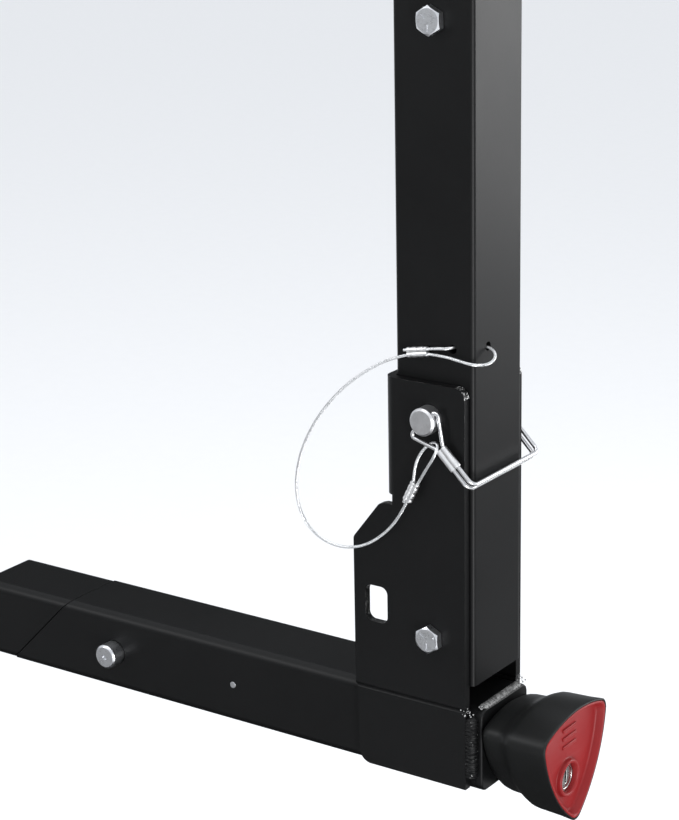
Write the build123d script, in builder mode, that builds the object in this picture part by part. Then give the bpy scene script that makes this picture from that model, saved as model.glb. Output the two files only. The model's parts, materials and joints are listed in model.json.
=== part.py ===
"""Hitch mounted bike rack: a square insert with a wedge and knob, a tilting mast and two fold-down carry arms.

Millimetres, +Z up, +X away from the vehicle, -Y the side with the bolt heads.
The origin is on the insert's centre line, level with the hitch pin hole.
"""

import os
from math import pi, sqrt, tan

from build123d import *

os.makedirs("parts", exist_ok=True)

# Driving dimensions
TUBE = 50.8  # outside width of the insert and of the mast
MAST_X = 241.0  # hitch pin hole to the mast's centre line
PIVOT_Z = 66.0
LOCK_Z = 196.0
MAST_BOTTOM = 39.5
MAST_JOINT = 470.0
MAST_TOP = 800.0
ARM_X = MAST_X + 52.0  # fold axis of the carry arms
ARM_Z = 780.0
ARM_Y = 150.0  # each arm to the middle plane
CRADLE_STEP = 170.0
CRADLES = 3

HALF = TUBE / 2
RUN = 0.05  # radial clearance of running fits
GAP = 0.4  # between faces that move past each other

INSERT_WALL = 4.0
INSERT_CORNER = 6.0
SLANT_X = -62.6  # where the slanted front end crosses the centre line
INSERT_END = MAST_X + 25.7
END_PLATE = 4.8
WEDGE_FRONT = -112.0

PLATE = 4.8  # bracket plate thickness
CHEEK_IN = 25.8  # inner face of a cheek to the middle plane
CHEEK_OUT = CHEEK_IN + PLATE
SEAM_Z = HALF
BRACKET_TOP = 216.0
BRACKET_REAR = MAST_X + 22.5
NOTCH_LOW, NOTCH_HIGH = 141.0, 147.0
BEND_IN = 2.0

MAST_WALL = 3.0
MAST_CORNER = 2.5
JOINER_BOLTS_Z = (414.0, 526.0)

BOLT_R = 4.75  # 3/8 inch
HEX_AF = 14.3
HEX_HIGH = 5.3
WASHER_THICK = 1.6
WASHER_R = 9.5
NUT_HIGH = 8.3

PIN_R = 7.95  # 5/8 inch lock pin
PIN_NEAR, PIN_FAR = -39.6, 40.0
WIRE_R = 1.2
WIRE_APART = 3.7  # centre to centre of the bail's two wires
BAIL_Y = 35.5

BUTTON_R = 7.75
BUTTON_NECK_R = 7.4  # where it runs in the insert's wall
BUTTON_OUT = 10.0  # how far the button stands out of the insert
LEAF_THICK = 1.2
LEAF_RIVET_X = 94.0

ROD_R = 6.0
THREAD_PITCH = 1.75
KNOB_TURNS = 3.5  # from loose to the end of the wedge's slot
DRAW = KNOB_TURNS * THREAD_PITCH
NUT_SIZE = 18.0
KNOB_BACK = MAST_X + 31.3
KNOB_FACE = MAST_X + 77.5
KNOB_R = 41.2  # before the lobes are rounded
ROD_IN_KNOB = 18.0
LOCK_LONG = 22.0
LOCK_Y, LOCK_DROP = -3.0, -13.0  # centre of the key lock on the knob's face

CORD_R = 0.85  # lanyard wire rope

ARM_R = 15.9
CROSS_R = 19.05
CROSS_X = ARM_X + 62.0
ARM_END = CROSS_X + 530.0
ARM_BOLT_R = 6.0
HEAD_PLATE = 4.8
HEAD_R = 31.0
HEAD_LOW = 700.0


def save(piece, name):
    piece.part.label = name
    export_step(piece.part, f"parts/{name}.step")


def side(y):
    """Plane at y, drawn in X and Z, that an extrusion leaves towards -Y."""
    return Plane.XZ.offset(-y)


def across(x):
    """Plane at x, drawn in Y and Z, that an extrusion leaves towards +X."""
    return Plane.YZ.offset(x)


def square_tube(width, corner, wall, inner_corner):
    """Section of a square tube, added to the sketch that is open."""
    RectangleRounded(width, width, corner)
    RectangleRounded(width - 2 * wall, width - 2 * wall, inner_corner, mode=Mode.SUBTRACT)


def bar(y_from, y_to, x, z, radius, mode=Mode.ADD):
    """Round bar or hole along Y, in the part that is open."""
    with BuildSketch(side(y_to)) as section:
        with Locations((x, z)):
            Circle(radius)
    extrude(section.sketch, amount=y_to - y_from, mode=mode)


def hex_bolt(x, z, seat, head_high, across_flats, tip, radius):
    """Bolt along Y: its head stands on the plane y = seat towards -Y, its shank reaches y = tip."""
    with BuildPart() as bolt:
        with BuildSketch(side(seat)):
            with Locations((x, z)):
                RegularPolygon(across_flats / 2, 6, major_radius=False)
        extrude(amount=head_high)
        face_r = across_flats * 0.47
        with Locations(Plane((x, seat - head_high / 2, z), z_dir=(0, -1, 0))):
            Cone(face_r + head_high * sqrt(3), face_r, head_high, mode=Mode.INTERSECT)
        bar(seat, tip, x, z, radius)
    return bolt


def hex_nut(x, z, seat, high, across_flats, hole):
    """Nut standing on the plane y = seat towards +Y, in the part that is open."""
    with BuildSketch(side(seat + high)) as section:
        with Locations((x, z)):
            RegularPolygon(across_flats / 2, 6, major_radius=False)
            Circle(hole, mode=Mode.SUBTRACT)
    extrude(section.sketch, amount=high)


def washer(x, z, y_low, outer, hole):
    with BuildSketch(side(y_low + WASHER_THICK)) as section:
        with Locations((x, z)):
            Circle(outer)
            Circle(hole, mode=Mode.SUBTRACT)
    extrude(section.sketch, amount=WASHER_THICK)


def arc_radii(points, share=0.45):
    """One radius for each corner of a route, as large as its two runs allow."""
    radii = []
    for before, here, after in zip(points, points[1:], points[2:]):
        first = Vector(*here) - Vector(*before)
        second = Vector(*after) - Vector(*here)
        turn = first.get_angle(second) * pi / 180
        radii.append(share * min(first.length, second.length) / tan(turn / 2))
    return radii


def wire(name, points, radius, corner_radii):
    """Round wire along straight runs joined by arcs, saved as a node of its own."""
    with BuildPart() as strand:
        with BuildLine() as path:
            FilletPolyline(*points, radius=corner_radii)
        length = path.wires()[0].length
        with BuildSketch(Plane(path.wires()[0] @ 0, z_dir=path.wires()[0] % 0)):
            Circle(radius)
        sweep(path=path.wires()[0])
    volume = pi * radius**2 * length
    print(f"{name}: length {length:.1f}, volume ratio {strand.part.volume / volume:.4f}, radii",
          [round(r, 1) for r in corner_radii])
    save(strand, name)


# Insert: square tube, slanted front end, end plate

with BuildPart() as insert_tube:
    with BuildSketch(across(SLANT_X - HALF - 5)):
        square_tube(TUBE, INSERT_CORNER, INSERT_WALL, 2.0)
    extrude(amount=INSERT_END - SLANT_X + HALF + 5)
    split(bisect_by=Plane((SLANT_X, 0, 0), z_dir=(-1, 0, 1)), keep=Keep.BOTTOM)
    bar(-HALF - 1, -HALF + INSERT_WALL + 1, 0, 0, BUTTON_R + 0.35, Mode.SUBTRACT)
    bar(-HALF - 1, -HALF + INSERT_WALL + 1, LEAF_RIVET_X, 0, 1.6, Mode.SUBTRACT)
save(insert_tube, "insert_tube")

with BuildPart() as insert_end_plate:
    with BuildSketch(across(INSERT_END)):
        RectangleRounded(TUBE, TUBE, INSERT_CORNER)
        Circle(ROD_R + RUN, mode=Mode.SUBTRACT)
    extrude(amount=END_PLATE)
    fillet(insert_end_plate.faces().sort_by(Axis.X)[-1].outer_wire().edges(), 1.2)
save(insert_end_plate, "insert_end_plate")

# Tilt bracket: a channel bent from one plate, its cheeks reaching down over the insert's sides

with BuildPart() as bracket:
    with BuildSketch(side(-CHEEK_IN)) as cheek:
        with BuildLine(Location((MAST_X, 0))):
            Polyline((22.5, SEAM_Z), (22.5, BRACKET_TOP - 6))
            RadiusArc((22.5, BRACKET_TOP - 6), (16.5, BRACKET_TOP), -6)
            Polyline((16.5, BRACKET_TOP), (-23.8, BRACKET_TOP), (-23.8, NOTCH_HIGH), (-25.4, NOTCH_HIGH),
                     (-25.4, NOTCH_LOW), (-31.0, NOTCH_LOW))
            FilletPolyline((-31.0, NOTCH_LOW), (-34.6, NOTCH_LOW - 1.2), (-52.3, 117.0), (-52.3, SEAM_Z + 1),
                           radius=(2.5, 4.0))
            Polyline((-52.3, SEAM_Z + 1), (-51.0, SEAM_Z), (22.5, SEAM_Z))
        make_face()
    extrude(amount=PLATE)
    with BuildSketch(side(-HALF)):
        with BuildLine(Location((MAST_X, 0))):
            Polyline((22.5, SEAM_Z), (22.5, -23.5), (-42.8, -23.5))
            RadiusArc((-42.8, -23.5), (-50.5, -15.8), 7.7)
            Polyline((-50.5, -15.8), (-51.0, SEAM_Z), (22.5, SEAM_Z))
        make_face()
    extrude(amount=PLATE)
    with BuildSketch(side(0)):
        with Locations((MAST_X - 37.1, 78.5)):
            RectangleRounded(15.2, 22.3, 4.5)
    extrude(amount=TUBE, mode=Mode.SUBTRACT)
    mirror(about=Plane.XZ)
    with BuildSketch(Plane.XY.offset(NOTCH_HIGH)):
        with BuildLine():
            outer, inner = CHEEK_OUT, CHEEK_IN
            bend_out = BEND_IN + PLATE
            FilletPolyline((MAST_X - 20, -outer), (MAST_X - outer, -outer), (MAST_X - outer, outer),
                           (MAST_X - 20, outer), radius=bend_out)
            Line((MAST_X - 20, outer), (MAST_X - 20, inner))
            FilletPolyline((MAST_X - 20, inner), (MAST_X - inner, inner), (MAST_X - inner, -inner),
                           (MAST_X - 20, -inner), radius=BEND_IN)
            Line((MAST_X - 20, -inner), (MAST_X - 20, -outer))
        make_face()
    extrude(amount=BRACKET_TOP - NOTCH_HIGH)
    bar(-TUBE, TUBE, MAST_X, PIVOT_Z, BOLT_R + 0.1, Mode.SUBTRACT)
    bar(-TUBE, TUBE, MAST_X, LOCK_Z, PIN_R + 0.07, Mode.SUBTRACT)
save(bracket, "bracket")

with BuildPart() as bracket_welds:
    # fillet in the corner between each cheek's rear edge and the insert's side
    with BuildSketch(Plane.XY.offset(-19)):
        Polygon((BRACKET_REAR, -HALF), (BRACKET_REAR, -HALF - 4.6), (BRACKET_REAR + 2.5, -HALF - 3.6),
                (BRACKET_REAR + 7.4, -HALF), align=None)
    extrude(amount=40)
    mirror(about=Plane.XZ)
    # bead along the top edge of the end plate
    with BuildSketch(side(20)):
        with BuildLine(Location((INSERT_END + 1.2, HALF))):
            CenterArc((0, 0), 3.0, 0, 180)
            Line((-3.0, 0), (3.0, 0))
        make_face()
    extrude(amount=40)
save(bracket_welds, "bracket_welds")

# Mast

with BuildPart() as mast_lower:
    with BuildSketch(Plane.XY.offset(MAST_BOTTOM)):
        with Locations((MAST_X, 0)):
            square_tube(TUBE, MAST_CORNER, MAST_WALL, 0.8)
    extrude(amount=MAST_JOINT - MAST_BOTTOM)
    bar(-HALF - 1, HALF + 1, MAST_X, PIVOT_Z, 8.05, Mode.SUBTRACT)
    bar(-HALF - 1, HALF + 1, MAST_X, LOCK_Z, PIN_R + RUN, Mode.SUBTRACT)
    bar(-HALF - 1, HALF + 1, MAST_X, JOINER_BOLTS_Z[0], BOLT_R + 0.15, Mode.SUBTRACT)
    bar(-HALF - 1, 0, MAST_X + 11.8, 236.0, 2.6, Mode.SUBTRACT)
    with BuildSketch(across(MAST_X + 15)):
        with Locations((-10.6, 236.4)):
            Circle(2.6)
    extrude(amount=15, mode=Mode.SUBTRACT)
save(mast_lower, "mast_lower")

with BuildPart() as mast_upper:
    with BuildSketch(Plane.XY.offset(MAST_JOINT)):
        with Locations((MAST_X, 0)):
            square_tube(TUBE, MAST_CORNER, MAST_WALL, 0.8)
    extrude(amount=MAST_TOP - MAST_JOINT)
    bar(-HALF - 1, HALF + 1, MAST_X, JOINER_BOLTS_Z[1], BOLT_R + 0.15, Mode.SUBTRACT)
save(mast_upper, "mast_upper")

with BuildPart() as mast_joiner:
    with BuildSketch(Plane.XY.offset(MAST_JOINT - 100)):
        with Locations((MAST_X, 0)):
            square_tube(TUBE - 2 * MAST_WALL - 0.6, 1.8, 3.0, 0.8)
    extrude(amount=200)
    for z in JOINER_BOLTS_Z:
        bar(-HALF, HALF, MAST_X, z, BOLT_R + 0.15, Mode.SUBTRACT)
save(mast_joiner, "mast_joiner")

with BuildPart() as mast_cap:
    with BuildSketch(Plane.XY.offset(MAST_TOP)):
        with Locations((MAST_X, 0)):
            RectangleRounded(TUBE, TUBE, MAST_CORNER)
    extrude(amount=4)
    chamfer(mast_cap.faces().sort_by(Axis.Z)[-1].edges(), 1.2)
    with BuildSketch(Plane.XY.offset(MAST_TOP)):
        with Locations((MAST_X, 0)):
            square_tube(TUBE - 2 * MAST_WALL - 0.2, 0.8, 2.0, 0.4)
    extrude(amount=-14)
save(mast_cap, "mast_cap")

with BuildPart() as pivot_sleeve:
    bar(-HALF, HALF, MAST_X, PIVOT_Z, 8.0)
    bar(-HALF - 1, HALF + 1, MAST_X, PIVOT_Z, BOLT_R + RUN, Mode.SUBTRACT)
save(pivot_sleeve, "pivot_sleeve")

# Bolts: heads on the -Y side, nuts on the +Y side

pivot_bolt = hex_bolt(MAST_X, PIVOT_Z, -CHEEK_OUT, HEX_HIGH, HEX_AF,
                      CHEEK_OUT + WASHER_THICK + NUT_HIGH + 3, BOLT_R)
save(pivot_bolt, "pivot_bolt")

with BuildPart() as pivot_washer:
    washer(MAST_X, PIVOT_Z, CHEEK_OUT, WASHER_R, BOLT_R + RUN)
save(pivot_washer, "pivot_washer")

with BuildPart() as pivot_nut:
    hex_nut(MAST_X, PIVOT_Z, CHEEK_OUT + WASHER_THICK, NUT_HIGH, HEX_AF, BOLT_R + RUN)
save(pivot_nut, "pivot_nut")

two_bolts = [hex_bolt(MAST_X, z, -HALF, HEX_HIGH, HEX_AF,
                      HALF + WASHER_THICK + NUT_HIGH + 3, BOLT_R) for z in JOINER_BOLTS_Z]
with BuildPart() as joiner_bolts:
    for bolt in two_bolts:
        add(bolt.part)
save(joiner_bolts, "joiner_bolts")

with BuildPart() as joiner_washers:
    for z in JOINER_BOLTS_Z:
        washer(MAST_X, z, HALF, WASHER_R, BOLT_R + RUN)
save(joiner_washers, "joiner_washers")

with BuildPart() as joiner_nuts:
    for z in JOINER_BOLTS_Z:
        hex_nut(MAST_X, z, HALF + WASHER_THICK, NUT_HIGH, HEX_AF, BOLT_R + RUN)
save(joiner_nuts, "joiner_nuts")

# Lock pin with its spring wire bail

with BuildPart() as lock_pin:
    bar(PIN_NEAR, PIN_FAR, MAST_X, LOCK_Z, PIN_R)
    chamfer(lock_pin.edges().filter_by(GeomType.CIRCLE), 1.2)
    cross_hole = Plane((MAST_X, -BAIL_Y, LOCK_Z), z_dir=(1, 0, 1))
    with BuildSketch(cross_hole):
        Circle(WIRE_R + RUN)
    extrude(amount=10, both=True, mode=Mode.SUBTRACT)
save(lock_pin, "lock_pin")

ROOT_HALF = sqrt(0.5)
BAIL_U = -2.8  # middle of the doubled wire, off the pin's radius
BAIL_REACH = 44.5


def bail_point(reach, aside, y):
    """A point by its distance from the pin's axis along the bail's arms, and across them."""
    return (MAST_X + (reach + aside) * ROOT_HALF, y, LOCK_Z + (aside - reach) * ROOT_HALF)


upper_u, lower_u = BAIL_U + WIRE_APART / 2, BAIL_U - WIRE_APART / 2
bail_route = [
    bail_point(0, 0.2, -BAIL_Y),
    bail_point(0, 11.3, -BAIL_Y),
    bail_point(17.5, upper_u, -BAIL_Y),
    bail_point(BAIL_REACH, upper_u, -BAIL_Y),
    bail_point(BAIL_REACH, upper_u, BAIL_Y),
    bail_point(19, upper_u, BAIL_Y),
    bail_point(9.0, 10.0, BAIL_Y),
    bail_point(-10.0, 10.0, BAIL_Y),
    bail_point(-10.0, -10.0, BAIL_Y),
    bail_point(5.0, -10.0, BAIL_Y),
    bail_point(19, lower_u, BAIL_Y),
    bail_point(BAIL_REACH, lower_u, BAIL_Y),
    bail_point(BAIL_REACH, lower_u, -BAIL_Y),
    bail_point(17.5, lower_u, -BAIL_Y),
    bail_point(0, -14.3, -BAIL_Y),
    bail_point(0, -0.2, -BAIL_Y),
]
wire("bail_wire", bail_route, WIRE_R, [2.4, 8, 4.5, 4.5, 8, 7, 8.5, 8.5, 8, 8, 4.5, 4.5, 8, 2.4])

with BuildPart() as bail_sleeve:
    along = Plane(bail_point(17.7, BAIL_U, -BAIL_Y), x_dir=(1, 0, 1), z_dir=(1, 0, -1))
    with BuildSketch(along):
        SlotCenterToCenter(WIRE_APART, 2 * WIRE_R + 1.3)
    extrude(amount=13.5)
    fillet(bail_sleeve.edges().group_by(Axis((0, 0, 0), (1, 0, -1)))[0], 0.4)
    fillet(bail_sleeve.edges().group_by(Axis((0, 0, 0), (1, 0, -1)))[-1], 0.4)
save(bail_sleeve, "bail_sleeve")

# Lanyard: two eyes, two double ferrules and the rope between them


def ferrule(name, start, direction, long):
    """Double ferrule whose flat side faces -Y, from start along direction."""
    with BuildPart() as clip:
        with BuildSketch(Plane(start, x_dir=Vector(*direction).cross(Vector(0, 1, 0)), z_dir=direction)):
            SlotCenterToCenter(2.9, 3.2)
        extrude(amount=long)
        for end in (0, -1):
            fillet(clip.edges().group_by(Axis((0, 0, 0), direction))[end], 0.4)
    save(clip, name)


TOP_FERRULE = (MAST_X - 15.2, -28.4, 231.2)
TOP_AXIS = Vector(12.8, 0, 2.4).normalized()
LOW_FERRULE = (MAST_X - 11.2, -36.5, 148.2)
LOW_AXIS = Vector(0.44, 0, 0.9).normalized()
ferrule("lanyard_ferrule_top", TOP_FERRULE, TOP_AXIS, 13.0)
ferrule("lanyard_ferrule_low", LOW_FERRULE, LOW_AXIS, 12.5)


def beside(start, axis, along, aside):
    """A point on one strand of a ferrule: along its axis, and aside across it in the XZ plane."""
    across_axis = Vector(-axis.Z, 0, axis.X)
    point = Vector(*start) + axis * along + across_axis * aside
    return (point.X, point.Y, point.Z)


STRAND = 1.45
top_lower = beside(TOP_FERRULE, TOP_AXIS, 13.0, -STRAND)
top_upper = beside(TOP_FERRULE, TOP_AXIS, 13.0, STRAND)
top_eye = [
    top_lower,
    (MAST_X + 8.5, -28.6, 232.5),
    (MAST_X + 18.0, -29.4, 231.6),
    (MAST_X + 28.2, -29.6, 230.4),
    (MAST_X + 32.4, -21.5, 229.6),
    (MAST_X + 32.2, -13.2, 231.6),
    (MAST_X + 28.6, -10.8, 235.6),
    (MAST_X + 20.5, -11.0, 236.6),
    (MAST_X + 13.2, -16.5, 236.4),
    (MAST_X + 11.4, -27.9, 236.9),
    (MAST_X + 4.0, -28.9, 236.4),
    top_upper,
]
wire("lanyard_eye_top", top_eye, CORD_R, arc_radii(top_eye))

low_left = beside(LOW_FERRULE, LOW_AXIS, 12.5, STRAND)
low_right = beside(LOW_FERRULE, LOW_AXIS, 12.5, -STRAND)
low_eye = [
    low_left,
    (MAST_X - 6.9, -35.6, 167.5),
    (MAST_X - 5.0, -34.2, 174.5),
    (MAST_X - 1.0, -33.2, 180.4),
    (MAST_X + 4.6, -33.2, 184.2),
    (MAST_X + 8.8, -35.5, 184.0),
    (MAST_X + 9.0, -38.7, 180.0),
    (MAST_X + 6.6, -38.9, 175.2),
    (MAST_X + 2.4, -37.8, 169.6),
    low_right,
]
wire("lanyard_eye_low", low_eye, CORD_R, arc_radii(low_eye))

lanyard_route = [
    beside(TOP_FERRULE, TOP_AXIS, 0, -STRAND),
    (MAST_X - 23.0, -29.6, 227.6),
    (MAST_X - 34.5, -33.0, 221.8),
    (MAST_X - 51.0, -38.0, 209.6),
    (MAST_X - 68.0, -41.5, 189.6),
    (MAST_X - 80.5, -42.5, 165.5),
    (MAST_X - 84.6, -42.0, 142.0),
    (MAST_X - 79.8, -41.0, 124.6),
    (MAST_X - 68.0, -39.8, 114.4),
    (MAST_X - 52.5, -38.6, 112.0),
    (MAST_X - 37.6, -37.6, 116.8),
    (MAST_X - 24.6, -36.9, 127.2),
    (MAST_X - 15.9, -36.5, 138.6),
    beside(LOW_FERRULE, LOW_AXIS, 0, 0),
]
wire("lanyard_rope", lanyard_route, CORD_R, arc_radii(lanyard_route))

# Spring button of the insert, on a riveted leaf spring

with BuildPart() as detent_button:
    bar(-HALF - BUTTON_OUT, -HALF - 0.2, 0, 0, BUTTON_R)
    bar(-HALF - 0.2, -HALF + INSERT_WALL + 0.2, 0, 0, BUTTON_NECK_R)
    chamfer(detent_button.faces().sort_by(Axis.Y)[0].edges(), 1.2)
    bar(-HALF + INSERT_WALL + 0.2, -HALF + INSERT_WALL + 2.0, 0, 0, 10.0)
    with BuildSketch(side(-HALF - BUTTON_OUT)):
        Circle(1.6)
    extrude(amount=-1.2, mode=Mode.SUBTRACT)
save(detent_button, "detent_button")

with BuildPart() as leaf_spring:
    leaf_y = -HALF + INSERT_WALL + 0.05
    with BuildSketch(Plane.XY.offset(-7)):
        with BuildLine():
            Polyline((LEAF_RIVET_X + 8, leaf_y), (LEAF_RIVET_X - 10, leaf_y), (14, leaf_y + 2.3),
                     (-10, leaf_y + 2.3), (-10, leaf_y + 2.3 + LEAF_THICK), (14, leaf_y + 2.3 + LEAF_THICK),
                     (LEAF_RIVET_X - 10, leaf_y + LEAF_THICK), (LEAF_RIVET_X + 8, leaf_y + LEAF_THICK),
                     close=True)
        make_face()
    extrude(amount=14)
    bar(-HALF, 0, LEAF_RIVET_X, 0, 1.6, Mode.SUBTRACT)
save(leaf_spring, "leaf_spring")

with BuildPart() as leaf_rivet:
    rivet_end = -HALF + INSERT_WALL + 0.05 + LEAF_THICK
    bar(-HALF, rivet_end, LEAF_RIVET_X, 0, 1.5)
    bar(-HALF - 0.6, -HALF, LEAF_RIVET_X, 0, 2.0)
    bar(rivet_end, rivet_end + 1.0, LEAF_RIVET_X, 0, 2.8)
save(leaf_rivet, "leaf_rivet")

# Wedge, its nut and the drive rod

with BuildPart() as wedge_block:
    with BuildSketch(across(WEDGE_FRONT)):
        RectangleRounded(TUBE - 0.8, TUBE - 0.8, INSERT_CORNER)
    extrude(amount=80)
    slant_gap = GAP * sqrt(2)
    split(bisect_by=Plane((SLANT_X - slant_gap, 0, 0), z_dir=(-1, 0, 1)), keep=Keep.TOP)
    # the rod's slot and the nut's pocket are long downwards, because the block climbs as it is drawn back
    with BuildSketch(across(WEDGE_FRONT)):
        with Locations((0, -DRAW / 2)):
            SlotCenterToCenter(DRAW, 2 * ROD_R + 1.2, rotation=90)
    extrude(amount=90, mode=Mode.SUBTRACT)
    with BuildSketch(across(WEDGE_FRONT)):
        with Locations((0, -DRAW / 2)):
            RectangleRounded(NUT_SIZE + 0.8, NUT_SIZE + DRAW + 0.8, 1.0)
    extrude(amount=16, mode=Mode.SUBTRACT)
save(wedge_block, "wedge_block")

with BuildPart() as wedge_nut:
    with BuildSketch(across(WEDGE_FRONT + 6)):
        RectangleRounded(NUT_SIZE, NUT_SIZE, 1.0)
        Circle(ROD_R + RUN, mode=Mode.SUBTRACT)
    extrude(amount=10 - 0.3)
save(wedge_nut, "wedge_nut")

with BuildPart() as drive_rod:
    with BuildSketch(across(WEDGE_FRONT + 2)):
        Circle(ROD_R)
    extrude(amount=KNOB_BACK + ROD_IN_KNOB - WEDGE_FRONT - 2)
    chamfer(drive_rod.faces().sort_by(Axis.X)[0].edges(), 1.0)
save(drive_rod, "drive_rod")

# Knob: a collar and a wider grip, both with three lobes, a recessed face and a key lock


def lobes(x, corner_radius):
    """Three-lobed outline at x, with bowed sides and softly pointed lobes."""
    corners = [Vector(corner_radius, 0, 0).rotate(Axis.Z, angle) for angle in (-88, 32, 152)]
    with BuildSketch(across(x)) as layer:
        with BuildLine() as outline:
            for start, end in zip(corners, corners[1:] + corners[:1]):
                RadiusArc(start, end, -1.22 * (end - start).length)
        make_face(outline.edges())
        fillet(layer.vertices(), corner_radius * 0.1)
    return layer.sketch


FLOOR_X = KNOB_FACE - 4.5
LOCK_FRONT = FLOOR_X - 0.4

with BuildPart() as knob_body:
    stations = [(0, 30.0), (3.0, 33.0), (12.0, 33.4), (15.5, 34.6), (18.0, 37.0), (20.5, 39.0),
                (KNOB_FACE - KNOB_BACK, KNOB_R)]
    loft([lobes(KNOB_BACK + step, corner_radius) for step, corner_radius in stations], ruled=True)
    extrude(lobes(FLOOR_X - 2.0, KNOB_R - 1.2), amount=10, mode=Mode.SUBTRACT)
    with BuildSketch(across(KNOB_BACK)):
        Circle(ROD_R)
    extrude(amount=ROD_IN_KNOB, mode=Mode.SUBTRACT)
    with BuildSketch(across(LOCK_FRONT - LOCK_LONG)):
        with Locations((LOCK_Y, LOCK_DROP)):
            Circle(8.5)
    extrude(amount=LOCK_LONG, mode=Mode.SUBTRACT)
save(knob_body, "knob_body")

with BuildPart() as knob_insert:
    extrude(lobes(FLOOR_X - 2.0, KNOB_R - 1.25), amount=KNOB_FACE + 0.3 - FLOOR_X + 2.0)
    extrude(lobes(FLOOR_X, KNOB_R - 3.4), amount=10, mode=Mode.SUBTRACT)
    with BuildSketch(across(FLOOR_X)):
        with Locations((LOCK_Y, LOCK_DROP)):
            Circle(11.0)
    extrude(amount=3.2)
    with BuildSketch(across(FLOOR_X)):
        with Locations((0, 6.3), (0, 11.5), (0, 16.7)):
            Rectangle(15, 2.2)
    extrude(amount=0.9)
    with BuildSketch(across(FLOOR_X - 2.0)):
        with Locations((LOCK_Y, LOCK_DROP)):
            Circle(8.5)
    extrude(amount=12, mode=Mode.SUBTRACT)
save(knob_insert, "knob_insert")

with BuildPart() as lock_case:
    with BuildSketch(across(LOCK_FRONT - LOCK_LONG)):
        with Locations((LOCK_Y, LOCK_DROP)):
            Circle(8.45)
            Circle(6.6, mode=Mode.SUBTRACT)
    extrude(amount=LOCK_LONG)
save(lock_case, "lock_case")

with BuildPart() as lock_plug:
    with BuildSketch(across(LOCK_FRONT + 1 - LOCK_LONG)):
        with Locations((LOCK_Y, LOCK_DROP)):
            Circle(6.55)
    extrude(amount=LOCK_LONG - 1)
    with BuildSketch(across(LOCK_FRONT)):
        with Locations((LOCK_Y, LOCK_DROP)):
            Rectangle(1.4, 7.6)
    extrude(amount=-14, mode=Mode.SUBTRACT)
save(lock_plug, "lock_plug")

with BuildPart() as knob_washer:
    with BuildSketch(across(INSERT_END + END_PLATE)):
        Circle(14.0)
        Circle(ROD_R + 0.3, mode=Mode.SUBTRACT)
    extrude(amount=KNOB_BACK - INSERT_END - END_PLATE - 0.3)
save(knob_washer, "knob_washer")

# Head of the mast: two plates that carry the arms' pivot

PLUNGER_X, PLUNGER_Z = ARM_X + 20.0, ARM_Z - 8.0
PLUNGER_R = 3.0

with BuildPart() as head_plates:
    with BuildSketch(side(-HALF)):
        with BuildLine():
            Polyline((MAST_X - 16, HEAD_LOW), (MAST_X - 16, MAST_TOP), (MAST_X + 24, MAST_TOP + 6),
                     (ARM_X, ARM_Z + HEAD_R))
            ThreePointArc((ARM_X, ARM_Z + HEAD_R), (ARM_X + HEAD_R, ARM_Z), (ARM_X, ARM_Z - HEAD_R))
            Polyline((ARM_X, ARM_Z - HEAD_R), (ARM_X - 18, ARM_Z - HEAD_R - 2), (MAST_X + 28, ARM_Z - 42),
                     (MAST_X + 28, HEAD_LOW), (MAST_X - 16, HEAD_LOW))
        make_face()
    extrude(amount=HEAD_PLATE)
    fillet(head_plates.edges().filter_by(Axis.Y).group_by(Axis.X)[0], 6)
    mirror(about=Plane.XZ)
    bar(-TUBE, TUBE, ARM_X, ARM_Z, ARM_BOLT_R + 0.1, Mode.SUBTRACT)
    bar(-TUBE, 0, PLUNGER_X, PLUNGER_Z, PLUNGER_R + RUN, Mode.SUBTRACT)
save(head_plates, "head_plates")

with BuildPart() as head_welds:
    # a fillet up each plate's front edge, and a bead under its lower edge
    front = MAST_X - 16
    with BuildSketch(Plane.XY.offset(HEAD_LOW + 8)):
        Polygon((front, -HALF), (front - 5, -HALF), (front - 1, -HALF - 3.6), (front, -HALF - 3.6),
                align=None)
    extrude(amount=MAST_TOP - HEAD_LOW - 20)
    with BuildSketch(side(-HALF)):
        with Locations((MAST_X + 3, HEAD_LOW - 2.5)):
            Rectangle(26, 5)
    extrude(amount=3.6)
    mirror(about=Plane.XZ)
save(head_welds, "head_welds")

head_seat = -HALF - HEAD_PLATE - WASHER_THICK
arm_pivot_bolt = hex_bolt(ARM_X, ARM_Z, head_seat, 7.5, 19.0, HALF + HEAD_PLATE + WASHER_THICK + 13, ARM_BOLT_R)
save(arm_pivot_bolt, "arm_pivot_bolt")

with BuildPart() as arm_pivot_washers:
    washer(ARM_X, ARM_Z, head_seat, 12.0, ARM_BOLT_R + RUN)
    washer(ARM_X, ARM_Z, HALF + HEAD_PLATE, 12.0, ARM_BOLT_R + RUN)
save(arm_pivot_washers, "arm_pivot_washers")

with BuildPart() as arm_pivot_nut:
    hex_nut(ARM_X, ARM_Z, HALF + HEAD_PLATE + WASHER_THICK, 10.0, 19.0, ARM_BOLT_R + RUN)
save(arm_pivot_nut, "arm_pivot_nut")

# Carry arms: hub, cross bar, two tubes

with BuildPart() as arm_hub:
    hub_half = HALF - GAP
    bar(-hub_half, hub_half, ARM_X, ARM_Z, 17.0)
    with BuildSketch(side(hub_half)):
        with Locations(((ARM_X + CROSS_X) / 2, ARM_Z)):
            Rectangle(CROSS_X - ARM_X, 30.0)
    extrude(amount=2 * hub_half)
    bar(-HALF, HALF, CROSS_X, ARM_Z, CROSS_R, Mode.SUBTRACT)
    bar(-HALF, HALF, ARM_X, ARM_Z, ARM_BOLT_R + RUN, Mode.SUBTRACT)
save(arm_hub, "arm_hub")

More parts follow.
